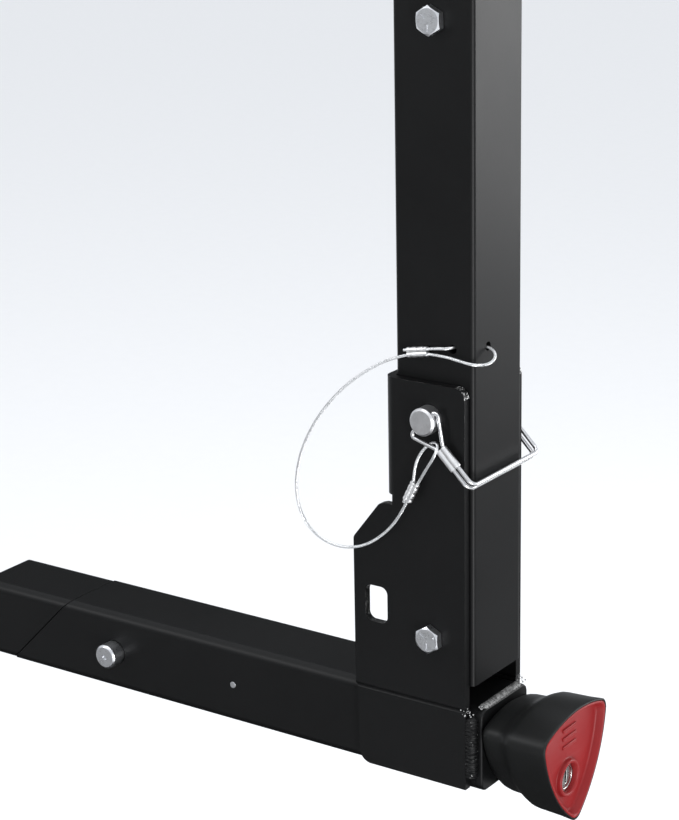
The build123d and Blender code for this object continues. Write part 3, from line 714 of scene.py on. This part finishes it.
class RACK_OT_welds(bpy.types.Operator):
    """Rippled weld beads on the bracket and under the head plates"""

    bl_idname = "rack.welds"
    bl_label = "Welds"

    def execute(self, context):
        low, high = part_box("bracket_welds")
        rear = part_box("bracket")[1].x
        side_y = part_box("insert_tube")[1].y
        bm = bmesh.new()
        for side in (-1, 1):
            foot = Vector((rear + 0.0018, side * (side_y + 0.0013), low.z + 0.002))
            weld_bead(bm, foot, Vector((foot.x, foot.y, high.z - 0.0065)), UPRIGHT_BEAD)
            splash = (rear + 0.0004, side * (side_y + 0.0036), high.z - 0.0036)
            spatter_beads(bm, splash, (0.0034, 0.0020, 0.0026), 26, 2)
        top = Vector((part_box("insert_tube")[1].x + 0.0018, -0.0205, high.z - 0.0038))
        weld_bead(bm, top, Vector((top.x, 0.0205, top.z)), TOP_BEAD, TOP_RIPPLE, 1)
        spatter_beads(bm, top + Vector((0.0002, -0.0012, 0.0012)), (0.0016, 0.0014, 0.0012), 9, 2)
        outward(bm)
        skins = [painted_weld(), bright_weld(), spatter()]
        beads = new_piece("bracket_beads", bm, "hitch", skins)
        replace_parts(beads, "bracket_welds")

        low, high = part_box("head_welds")
        bm = bmesh.new()
        for side in (-1, 1):
            y = side * (side_y + 0.0012)
            upright = Vector((low.x + 0.004, y, low.z + 0.013))
            weld_bead(bm, upright, Vector((upright.x, y, high.z)), HEAD_BEAD)
            level = Vector((low.x + 0.012, y, low.z + 0.0036))
            weld_bead(bm, level, Vector((high.x, y, level.z)), HEAD_BEAD)
        outward(bm)
        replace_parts(new_piece("head_beads", bm, "mast", [painted_weld()]), "head_welds")
        return {"FINISHED"}


# ---------------------------------------------------------------- fasteners

BOLT_HEAD, BOLT_FLATS, BOLT_RADIUS = 0.0053, 0.0143, 0.00475
ARM_BOLT_HEAD, ARM_BOLT_FLATS, ARM_BOLT_RADIUS = 0.0075, 0.019, 0.006
THREAD_LONG, THREAD_PITCH = 0.0175, 0.0015
PLAIN_END = 0.017  # the plain shank stops this far before the tip, just inside the thread


def bolt_piece(name, node, at_list, head_high, across_flats, radius, body):
    """Hexagon bolts along Y, head towards -Y, with grade marks on the head and a thread at the tip."""
    low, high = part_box(node)
    seat = low.y + head_high
    reach = high.y - seat
    bm = bmesh.new()
    for number, at in enumerate(at_list):
        since = len(bm.verts)
        hex_solid(bm, across_flats, 0.0004, head_high - 0.0001)
        turned(bm, 48, [(across_flats * HEX_FACE, 0.0), (across_flats * HEX_FACE, 0.0005)])
        turned(bm, 32, [(radius, 0.0), (radius, -(reach - PLAIN_END))])
        for mark in range(3):
            made = bmesh.ops.create_cube(bm, size=1.0)
            angle = radians(23 + 120 * mark)
            centre = Vector((cos(angle), sin(angle), 0)) * across_flats * 0.26
            shift = Matrix.Translation(centre + Vector((0, 0, head_high - 0.0001)))
            size = Matrix.Diagonal((across_flats * 0.22, 0.0009, 0.0011, 1.0))
            turn = Matrix.Rotation(angle, 4, "Z") @ size
            bmesh.ops.transform(bm, verts=made["verts"], matrix=shift @ turn)
        spin = Matrix.Rotation(radians(2 + 7 * number), 4, "Z")
        place(bm, Matrix.Translation((at.x, seat, at.z)) @ FACE_Y @ spin, since)
        start = Matrix.Translation((at.x, high.y - THREAD_LONG, at.z))
        tip = start @ FACE_Y @ Matrix.Rotation(pi, 4, "X")
        threaded_end(bm, tip, radius, THREAD_LONG, THREAD_PITCH)
    outward(bm)
    piece = new_piece(name, bm, body, [zinc_plate()], 30.0)
    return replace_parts(piece, node)


def nut_piece(name, node, at_list, across_flats, radius, body):
    """Hexagon nuts chamfered on both faces."""
    low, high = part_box(node)
    bm = bmesh.new()
    for number, at in enumerate(at_list):
        since = len(bm.verts)
        hex_solid(bm, across_flats, 0.0, high.y - low.y, radius + 0.0001, True)
        spin = Matrix.Rotation(radians(11 + 24 * number), 4, "Z")
        place(bm, Matrix.Translation((at.x, high.y, at.z)) @ FACE_Y @ spin, since)
    outward(bm)
    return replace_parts(new_piece(name, bm, body, [zinc_plate()], 30.0), node)


class RACK_OT_fasteners(bpy.types.Operator):
    """Zinc plated bolts, washers and nuts"""

    bl_idname = "rack.fasteners"
    bl_label = "Bolts and nuts"

    def execute(self, context):
        low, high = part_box("joiner_washers")
        edge = (high.x - low.x) / 2
        joints = [Vector((PIVOT.x, 0, z)) for z in (low.z + edge, high.z - edge)]
        small = (BOLT_FLATS, BOLT_RADIUS)
        large = (ARM_BOLT_FLATS, ARM_BOLT_RADIUS)
        bolt_piece("pivot_bolt_zinc", "pivot_bolt", [PIVOT], BOLT_HEAD, *small, "hitch")
        bolt_piece("joiner_bolts_zinc", "joiner_bolts", joints, BOLT_HEAD, *small, "mast")
        bolt_piece("arm_bolt_zinc", "arm_pivot_bolt", [ARM_PIVOT], ARM_BOLT_HEAD, *large, "mast")
        nut_piece("pivot_nut_zinc", "pivot_nut", [PIVOT], *small, "hitch")
        nut_piece("joiner_nuts_zinc", "joiner_nuts", joints, *small, "mast")
        nut_piece("arm_nut_zinc", "arm_pivot_nut", [ARM_PIVOT], *large, "mast")
        for node in ("pivot_washer", "joiner_washers", "arm_pivot_washers", "knob_washer"):
            softened(node, 0.00015, [zinc_plate()])
        softened("pivot_sleeve", 0.0003, [zinc_plate()])
        return {"FINISHED"}


# ---------------------------------------------------------------- lock pin and bail

SLEEVE_LONG = 13.5  # in millimetres


class RACK_OT_lock_pin(bpy.types.Operator):
    """Lock pin with its doubled wire bail and crimped sleeve"""

    bl_idname = "rack.lock_pin"
    bl_label = "Lock pin"

    def execute(self, context):
        softened("lock_pin", 0.0003, [turned_pin()])
        softened("bail_wire", 0.0003, [drawn_wire()], sharper_than=60.0)
        low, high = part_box("bail_sleeve")
        along, long = Vector((1, 0, -1)).normalized(), SLEEVE_LONG
        start = (low + high) / 2 / MM - along * long / 2
        ferrule_piece("sleeve", "bail_sleeve", start, along, long, "pin",
                      half=1.85, barrel=1.85, groove=0.30, crimps=0)
        return {"FINISHED"}


# ---------------------------------------------------------------- lanyard

MAST_X = PIVOT.x / MM  # the mast's centre line, in millimetres
STRAND = 1.45  # each barrel of a ferrule to the ferrule's middle
TOP_FERRULE = Vector((MAST_X - 15.2, -28.4, 231.2))
TOP_AXIS = Vector((12.8, 0, 2.4)).normalized()
TOP_LONG = 13.0
LOW_FERRULE = Vector((MAST_X - 11.2, -36.5, 148.2))
LOW_AXIS = Vector((0.44, 0, 0.9)).normalized()
LOW_LONG = 12.5


def beside(start, axis, along, aside):
    """A point on one strand of a ferrule: along its axis, and aside across it."""
    return start + axis * along + Vector((-axis.z, 0, axis.x)) * aside


TOP_EYE = [
    beside(TOP_FERRULE, TOP_AXIS, TOP_LONG, -STRAND),
    (MAST_X + 8.5, -28.6, 232.5),
    (MAST_X + 18.0, -29.4, 231.6),
    (MAST_X + 28.2, -29.6, 230.4),
    (MAST_X + 32.4, -21.5, 229.6),
    (MAST_X + 32.2, -13.2, 231.6),
    (MAST_X + 28.6, -10.8, 235.6),
    (MAST_X + 20.5, -11.0, 236.6),
    (MAST_X + 13.2, -16.5, 236.4),
    (MAST_X + 11.4, -27.9, 236.9),
    (MAST_X + 4.0, -28.9, 236.4),
    beside(TOP_FERRULE, TOP_AXIS, TOP_LONG, STRAND),
]
LOW_EYE = [
    beside(LOW_FERRULE, LOW_AXIS, LOW_LONG, STRAND),
    (MAST_X - 6.9, -35.6, 167.5),
    (MAST_X - 5.0, -34.2, 174.5),
    (MAST_X - 1.0, -33.2, 180.4),
    (MAST_X + 4.6, -33.2, 184.2),
    (MAST_X + 8.8, -35.5, 184.0),
    (MAST_X + 9.0, -38.7, 180.0),
    (MAST_X + 6.6, -38.9, 175.2),
    (MAST_X + 2.4, -37.8, 169.6),
    beside(LOW_FERRULE, LOW_AXIS, LOW_LONG, -STRAND),
]
LANYARD = [
    beside(TOP_FERRULE, TOP_AXIS, 0, -STRAND),
    (MAST_X - 23.0, -29.6, 227.6),
    (MAST_X - 34.5, -33.0, 221.8),
    (MAST_X - 51.0, -38.0, 209.6),
    (MAST_X - 68.0, -41.5, 189.6),
    (MAST_X - 80.5, -42.5, 165.5),
    (MAST_X - 84.6, -42.0, 142.0),
    (MAST_X - 79.8, -41.0, 124.6),
    (MAST_X - 68.0, -39.8, 114.4),
    (MAST_X - 52.5, -38.6, 112.0),
    (MAST_X - 37.6, -37.6, 116.8),
    (MAST_X - 24.6, -36.9, 127.2),
    (MAST_X - 15.9, -36.5, 138.6),
    beside(LOW_FERRULE, LOW_AXIS, 0, 0),
]


def smooth_line(route):
    """Points along the NURBS curve that a route in millimetres controls, in metres."""
    curve = bpy.data.curves.new("route", "CURVE")
    curve.dimensions = "3D"
    curve.resolution_u = 24
    spline = curve.splines.new("NURBS")
    spline.points.add(len(route) - 1)
    for point, at in zip(spline.points, route):
        point.co = (*(Vector(at) * MM), 1.0)
    spline.order_u = 3
    spline.use_endpoint_u = True
    holder = bpy.data.objects.new("route", curve)
    line = [vert.co.copy() for vert in bpy.data.meshes.new_from_object(holder).vertices]
    bpy.data.objects.remove(holder)
    return line


def wire_rope(name, line):
    """A mesh rope along a line: one core and the outer strands laid round it."""
    settings = bpy.context.scene.rack_lanyard
    strand_r = settings.diameter / 6
    ring_r = settings.diameter / 2 - strand_r
    curve = bpy.data.curves.new(name, "CURVE")
    curve.dimensions = "3D"
    curve.bevel_depth = strand_r
    curve.bevel_resolution = 2
    curve.use_fill_caps = True
    tangents = [(after - before).normalized() for before, after in zip(line, line[1:])]
    tangents.append(tangents[-1])
    normal = tangents[0].orthogonal().normalized()
    travelled = 0.0
    laid = [[] for _ in range(settings.strands)]
    for index, (at, tangent) in enumerate(zip(line, tangents)):
        normal = (normal - tangent * normal.dot(tangent)).normalized()
        if index:
            travelled += (at - line[index - 1]).length
        for strand, points in enumerate(laid):
            angle = 2 * pi * (travelled / settings.lay + strand / settings.strands)
            points.append(at + Matrix.Rotation(angle, 3, tangent) @ normal * ring_r)
    for points in [line, *laid]:
        spline = curve.splines.new("POLY")
        spline.points.add(len(points) - 1)
        for point, at in zip(spline.points, points):
            point.co = (*at, 1.0)
    holder = bpy.data.objects.new(name, curve)
    bm = bmesh.new()
    bm.from_mesh(bpy.data.meshes.new_from_object(holder))
    bpy.data.objects.remove(holder)
    return new_piece(name, bm, None, [rope_steel()], 60.0)


def ferrule_piece(name, node, start, axis, long, body,
                  half=STRAND, barrel=1.6, groove=0.16, crimps=3):
    """Double-barrelled ferrule, sizes in millimetres, with crimps pressed across it."""
    bm = bmesh.new()
    half, barrel = half * MM, barrel * MM
    steps = 26
    rows = []
    for step in range(steps + 1):
        share = step / steps
        end = min(1.0, (min(share, 1 - share) * steps + 0.45) / 1.5)
        crimp = 1 - 0.10 * max(0.0, cos(2 * pi * (share * crimps - 0.5))) ** 2

        def outline(angle, end=end, crimp=crimp):
            waist = 1 - groove * abs(sin(angle)) ** 8
            wide = barrel + half * abs(cos(angle))
            return wide * waist * crimp * (0.90 + 0.10 * sqrt(end))

        rows.append((outline, lambda _, share=share: share * long * MM))
    cap(bm, *stack(bm, 40, rows))
    across = Vector((-axis.z, 0, axis.x))
    turn = Matrix((across, axis.cross(across), axis)).transposed().to_4x4()
    place(bm, Matrix.Translation(start * MM) @ turn)
    outward(bm)
    piece = new_piece(name, bm, body, [pressed_aluminium()], 50.0)
    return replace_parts(piece, node)


class RACK_OT_lanyard(bpy.types.Operator):
    """Wire rope lanyard: two eyes, two double ferrules and the rope between"""

    bl_idname = "rack.lanyard"
    bl_label = "Lanyard"

    def execute(self, context):
        top = ferrule_piece("ferrule_top", "lanyard_ferrule_top",
                            TOP_FERRULE, TOP_AXIS, TOP_LONG, "mast")
        low = ferrule_piece("ferrule_low", "lanyard_ferrule_low",
                            LOW_FERRULE, LOW_AXIS, LOW_LONG, "pin")
        for name, node, route, body in (("rope_eye_top", "lanyard_eye_top", TOP_EYE, "mast"),
                                        ("rope_eye_low", "lanyard_eye_low", LOW_EYE, "pin")):
            line = smooth_line(route)
            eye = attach(wire_rope(name, line), body)
            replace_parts(eye, node)
        line = smooth_line(LANYARD)
        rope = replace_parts(wire_rope("rope", line), "lanyard_rope")
        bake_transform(rope)
        for name, start, axis, body in (("rope_tail_top", TOP_FERRULE, TOP_AXIS, "mast"),
                                        ("rope_tail_low", LOW_FERRULE, LOW_AXIS, "pin")):
            aside = STRAND if body == "mast" else STRAND * 1.1
            tail = [beside(start, axis, along, aside) * MM for along in (1.0, 0.0, -1.2, -2.6)]
            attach(wire_rope(name, tail), body)
        return {"FINISHED"}


# ---------------------------------------------------------------- knob

LOBE_AT = [radians(angle) for angle in (-88, 32, 152)]
SIDE_BOW = 1.22 * sqrt(3)  # radius of a bowed side, for a corner radius of 1
ARC_BACK = sqrt(SIDE_BOW**2 - 0.75) - 0.5  # that arc's centre, behind the axis
LOBE_FILLET = 0.16
KNOB_REACH = 0.0420  # from the axis to the lobes' corners
TRAY_DEEP = 0.0048  # the insert's floor below the knob's face


def lobed(reach):
    """Radius of the three-lobed outline at an angle, for the corners' reach."""
    inner = SIDE_BOW - LOBE_FILLET
    fillet_at = (-ARC_BACK + sqrt(ARC_BACK**2 - 4 * (ARC_BACK**2 - inner**2))) / 2
    touch = Vector((ARC_BACK * 0.5 + fillet_at, ARC_BACK * sqrt(0.75))).normalized() * SIDE_BOW
    touch -= Vector((ARC_BACK * 0.5, ARC_BACK * sqrt(0.75)))
    limit = abs(atan2(touch.y, touch.x))

    def radius(angle):
        corner = min(abs((angle - at + pi) % (2 * pi) - pi) for at in LOBE_AT)
        if corner < limit:
            chord = max(0.0, LOBE_FILLET**2 - (fillet_at * sin(corner)) ** 2)
            part = fillet_at * cos(corner) + sqrt(chord)
        else:
            side = pi / 3 - corner
            part = -ARC_BACK * cos(side) + sqrt(SIDE_BOW**2 - (ARC_BACK * sin(side)) ** 2)
        return part * reach

    return radius


def lobed_stack(bm, profile, segments=120):
    """Rings of the lobed outline by (reach, height) pairs in metres. Returns the end rings."""
    return stack(bm, segments, [(lobed(reach), lambda _, h=height: h) for reach, height in profile])


class RACK_OT_knob(bpy.types.Operator):
    """Three-lobed knob with its red insert and key lock"""

    bl_idname = "rack.knob"
    bl_label = "Knob"

    def execute(self, context):
        back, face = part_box("knob_body")[0].x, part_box("knob_body")[1].x
        wide = KNOB_REACH
        floor = face - TRAY_DEEP
        bm = bmesh.new()
        shape = [(0.012, 0.0), (0.0290, 0.0), (0.0312, 0.0006), (0.0330, 0.0026), (0.0338, 0.0060),
                 (0.0341, 0.0110), (0.0346, 0.0138), (0.0362, 0.0166), (0.0386, 0.0190), (0.0399, 0.0212),
                 (0.0404, 0.0240), (wide - 0.0008, 0.0380)]
        rounded = [(wide, face - back - 0.0014), (wide, face - back - 0.0004), (wide - 0.0005, face - back),
                   (wide - 0.0012, face - back), (wide - 0.0015, face - back - 0.0004),
                   (wide - 0.0015, floor - back - 0.003)]
        cap(bm, *lobed_stack(bm, [(reach, back + height) for reach, height in shape + rounded]))
        place(bm, FACE_X)
        outward(bm)
        body = new_piece("knob_grip", bm, "knob", [knob_plastic()], 50.0)
        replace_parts(body, "knob_body")

        bm = bmesh.new()
        rim = wide - 0.0017
        tray = [(rim, floor - 0.002), (rim, face - 0.0001), (rim - 0.0004, face + 0.0002),
                (rim - 0.0016, face + 0.0002), (rim - 0.0022, face - 0.0004), (rim - 0.0034, floor + 0.0012),
                (rim - 0.0040, floor + 0.0003), (rim - 0.0052, floor)]
        under, inside = lobed_stack(bm, tray)
        since = len(bm.verts)
        boss = [(0.0119, floor), (0.0114, floor + 0.0002), (0.0112, floor + 0.0007), (0.0111, floor + 0.0022),
                (0.0107, floor + 0.0029), (0.0100, floor + 0.0031), (0.0093, floor + 0.0029),
                (0.0088, floor + 0.0023), (0.0086, floor + 0.0014), (0.0086, floor - 0.002)]
        foot, bore = turned(bm, 64, boss, close=False)
        place(bm, Matrix.Translation((KEY.y, KEY.z, 0)), since)
        bmesh.ops.triangle_fill(bm, use_dissolve=True, edges=under + bore)
        bmesh.ops.triangle_fill(bm, use_dissolve=True, edges=inside + foot)
        for row in (-1, 0, 1):
            made = bmesh.ops.create_cube(bm, size=1.0)
            shift = Matrix.Translation((0, 0.0115 + 0.0052 * row, floor))
            size = Matrix.Diagonal((0.0150, 0.0022, 0.0018, 1.0))
            bmesh.ops.transform(bm, verts=made["verts"], matrix=shift @ size)
            rib = [edge for edge in bm.edges if all(vert in made["verts"] for vert in edge.verts)]
            bmesh.ops.bevel(bm, geom=rib, offset=0.0006, segments=3, profile=0.5, affect="EDGES", material=-1)
        place(bm, FACE_X)
        outward(bm)
        tray_piece = new_piece("knob_tray", bm, "knob", [insert_plastic()], 50.0)
        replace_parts(tray_piece, "knob_insert")
        softened("lock_case", 0.0005, [lock_chrome()])
        softened("lock_plug", 0.0003, [lock_chrome()])
        return {"FINISHED"}


# ---------------------------------------------------------------- wedge drive and spring button

LEAF_STEPS = 16  # stretches in which the leaf spring can bend


class RACK_OT_drive(bpy.types.Operator):
    """Wedge, its nut and rod, and the insert's spring button on its leaf"""

    bl_idname = "rack.drive"
    bl_label = "Wedge and button"

    def execute(self, context):
        softened("wedge_block", 0.0008, [powder_coat()])
        softened("wedge_nut", 0.0004, [zinc_plate()])
        softened("drive_rod", 0.0004, [bare_drive_steel()])
        softened("detent_button", 0.0003, [zinc_plate()])
        softened("leaf_rivet", 0.0002, [zinc_plate()])
        low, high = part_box("leaf_spring")
        root, tip = Vector((high.x - 0.013, low.y, 0.0)), Vector((0.0115, low.y, 0.0))
        slices = [root.lerp(tip, step / LEAF_STEPS).x for step in range(LEAF_STEPS + 1)]
        leaf = softened("leaf_spring", 0.0002, [bare_drive_steel()], slices=slices)
        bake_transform(leaf)
        return {"FINISHED"}


# ---------------------------------------------------------------- arms


class RACK_OT_arms(bpy.types.Operator):
    """Carry arms with their hub, plugs and spring plunger"""

    bl_idname = "rack.arms"
    bl_label = "Carry arms"

    def execute(self, context):
        edge = context.scene.rack_paint.edge
        for node in ("arm_hub", "arm_crossbar", "arm_tube_near", "arm_tube_far"):
            softened(node, edge, [powder_coat()])
        for node in ("arm_plugs", "crossbar_plugs"):
            softened(node, 0.0009, [plug_plastic()], 3)
        softened("plunger_body", 0.0005, [zinc_plate()])
        softened("plunger_pin", 0.0008, [knob_plastic()])
        return {"FINISHED"}


# ---------------------------------------------------------------- cradles


class RACK_OT_cradles(bpy.types.Operator):
    """Rubber cradles and their straps"""

    bl_idname = "rack.cradles"
    bl_label = "Cradles"

    def execute(self, context):
        for node in CRADLE_NODES:
            softened(node, 0.0014, [cradle_rubber()], 3)
        for node in STRAP_NODES:
            softened(node, 0.0007, [strap_rubber()], 2)
        return {"FINISHED"}


# ---------------------------------------------------------------- stage

AIM_AZIMUTH, AIM_ELEVATION, AIM_ROLL = 35.05, 17.37, -1.07
CAMERA_AT = Vector((0.9154, -1.0780, 0.5914))
FLOOR_REACH = 60.0
SKY, SKY_STRENGTH = (0.93, 0.96, 1.0, 1.0), 0.95
LIGHTS = (  # name, place, target, width and height in metres, watts
    ("overhead", (0.3, -0.3, 3.2), (0.3, 0.2, 0.2), 3.2, 3.2, 60),
    ("rear right", (1.7, 2.2, 0.4), (0.25, 0.0, 0.30), 1.2, 1.2, 32),
    ("corner strip", (1.65, -1.00, -0.15), (0.27, -0.03, 0.15), 0.22, 1.0, 22),
    ("front left", (-0.85, -1.0, 1.0), (0.28, 0.0, 0.0), 0.45, 0.45, 5),
)
CARDS = (  # name, place, target, width and height in metres, shade of grey
    ("left card", (-0.62, -1.20, -0.30), (0.24, 0.0, 0.12), 1.7, 1.3, 0.26),
    ("rear card", (1.10, 1.25, -0.50), (0.25, 0.0, 0.10), 1.6, 0.55, 0.12),
    ("far card", (-0.73, 1.25, 0.51), (0.15, 0.0, 0.03), 2.2, 0.8, 0.015),
    ("low card", (0.10, 0.0, -0.42), (0.10, 0.0, 0.0), 1.5, 0.9, 0.03),
)


def soft_light(name, at, target, width, height, power):
    lamp = bpy.data.lights.new(name, "AREA")
    lamp.shape = "RECTANGLE"
    lamp.size, lamp.size_y = width, height
    lamp.energy = power
    holder = bpy.data.objects.new(name, lamp)
    holder.location = at
    holder.rotation_euler = (Vector(target) - Vector(at)).to_track_quat("-Z", "Y").to_euler()
    bpy.context.scene.collection.objects.link(holder)


def card(name, at, target, width, height, shade):
    """A grey card that only reflections see, so that metal and paint mirror less than a white room."""
    shader = Shader(name)
    shader.set(Base_Color=(shade, shade, shade), Roughness=0.9, Specular_IOR_Level=0.0)
    bm = bmesh.new()
    bmesh.ops.create_grid(bm, x_segments=1, y_segments=1, size=0.5)
    turn = (Vector(target) - Vector(at)).to_track_quat("-Z", "Y").to_matrix().to_4x4()
    place(bm, Matrix.Translation(at) @ turn @ Matrix.Diagonal((width, height, 1.0, 1.0)))
    sheet = bpy.data.objects.new(name, bpy.data.meshes.new(name))
    bm.to_mesh(sheet.data)
    bm.free()
    sheet.data.materials.append(shader.material)
    bpy.context.scene.collection.objects.link(sheet)
    sheet.visible_camera = sheet.visible_diffuse = sheet.visible_shadow = False


class RACK_OT_stage(bpy.types.Operator):
    """Pale floor, soft studio light and the camera"""

    bl_idname = "rack.stage"
    bl_label = "Stage"

    def execute(self, context):
        scene = context.scene
        settings = scene.rack_stage
        bm = bmesh.new()
        bmesh.ops.create_grid(bm, x_segments=8, y_segments=8, size=FLOOR_REACH)
        bmesh.ops.translate(bm, verts=bm.verts, vec=(0, 0, -settings.drop))
        mesh = bpy.data.meshes.new("floor")
        bm.to_mesh(mesh)
        bm.free()
        mesh.materials.append(floor_paper())
        floor = bpy.data.objects.new("floor", mesh)
        scene.collection.objects.link(floor)

        world = bpy.data.worlds.new("studio")
        world.use_nodes = True
        background = world.node_tree.nodes["Background"]
        background.inputs["Color"].default_value = SKY
        background.inputs["Strength"].default_value = SKY_STRENGTH
        scene.world = world
        for light in LIGHTS:
            soft_light(*light)
        for grey in CARDS:
            card(*grey)

        azimuth, elevation, roll = radians(AIM_AZIMUTH), radians(AIM_ELEVATION), radians(AIM_ROLL)
        back = Vector((sin(azimuth) * cos(elevation), -cos(azimuth) * cos(elevation), sin(elevation)))
        right = Vector((cos(azimuth), sin(azimuth), 0.0))
        up = back.cross(right)
        turned_right = right * cos(roll) + up * sin(roll)
        turned_up = up * cos(roll) - right * sin(roll)
        camera = bpy.data.objects.new("camera", bpy.data.cameras.new("camera"))
        camera.data.lens = settings.lens
        camera.data.clip_start = 0.05
        rotation = Matrix((turned_right, turned_up, back)).transposed()
        camera.matrix_world = Matrix.Translation(CAMERA_AT) @ rotation.to_4x4()
        scene.collection.objects.link(camera)
        scene.camera = camera
        scene.view_settings.view_transform = "Standard"
        return {"FINISHED"}


# ---------------------------------------------------------------- panel and registration

OPERATORS = (RACK_OT_stage, RACK_OT_lanyard, RACK_OT_steelwork, RACK_OT_welds, RACK_OT_fasteners,
             RACK_OT_lock_pin, RACK_OT_knob, RACK_OT_drive, RACK_OT_arms, RACK_OT_cradles)
GROUPS = {"rack_paint": PaintSettings, "rack_lanyard": LanyardSettings, "rack_knob": KnobSettings,
          "rack_stage": StageSettings}


class RACK_PT_panel(bpy.types.Panel):
    """Sizes and colours of the rack, and a button for each group of pieces"""

    bl_idname = "RACK_PT_panel"
    bl_label = "Bike rack"
    bl_space_type = "VIEW_3D"
    bl_region_type = "UI"
    bl_category = "Rack"

    def draw(self, context):
        for attribute, group in GROUPS.items():
            box = self.layout.box()
            box.label(text=group.__doc__)
            for name in group.__annotations__:
                box.prop(getattr(context.scene, attribute), name)
        for operator in OPERATORS:
            self.layout.operator(operator.bl_idname)


def register():
    for group in GROUPS.values():
        bpy.utils.register_class(group)
    for attribute, group in GROUPS.items():
        setattr(bpy.types.Scene, attribute, PointerProperty(type=group))
    for listed in (*OPERATORS, RACK_PT_panel):
        bpy.utils.register_class(listed)


def unregister():
    for listed in reversed((*OPERATORS, RACK_PT_panel)):
        bpy.utils.unregister_class(listed)
    for attribute in GROUPS:
        delattr(bpy.types.Scene, attribute)
    for group in reversed(list(GROUPS.values())):
        bpy.utils.unregister_class(group)


def main():
    register()
    for operator in OPERATORS:
        family, name = operator.bl_idname.split(".")
        getattr(getattr(bpy.ops, family), name)()


if __name__ == "__main__":
    main()
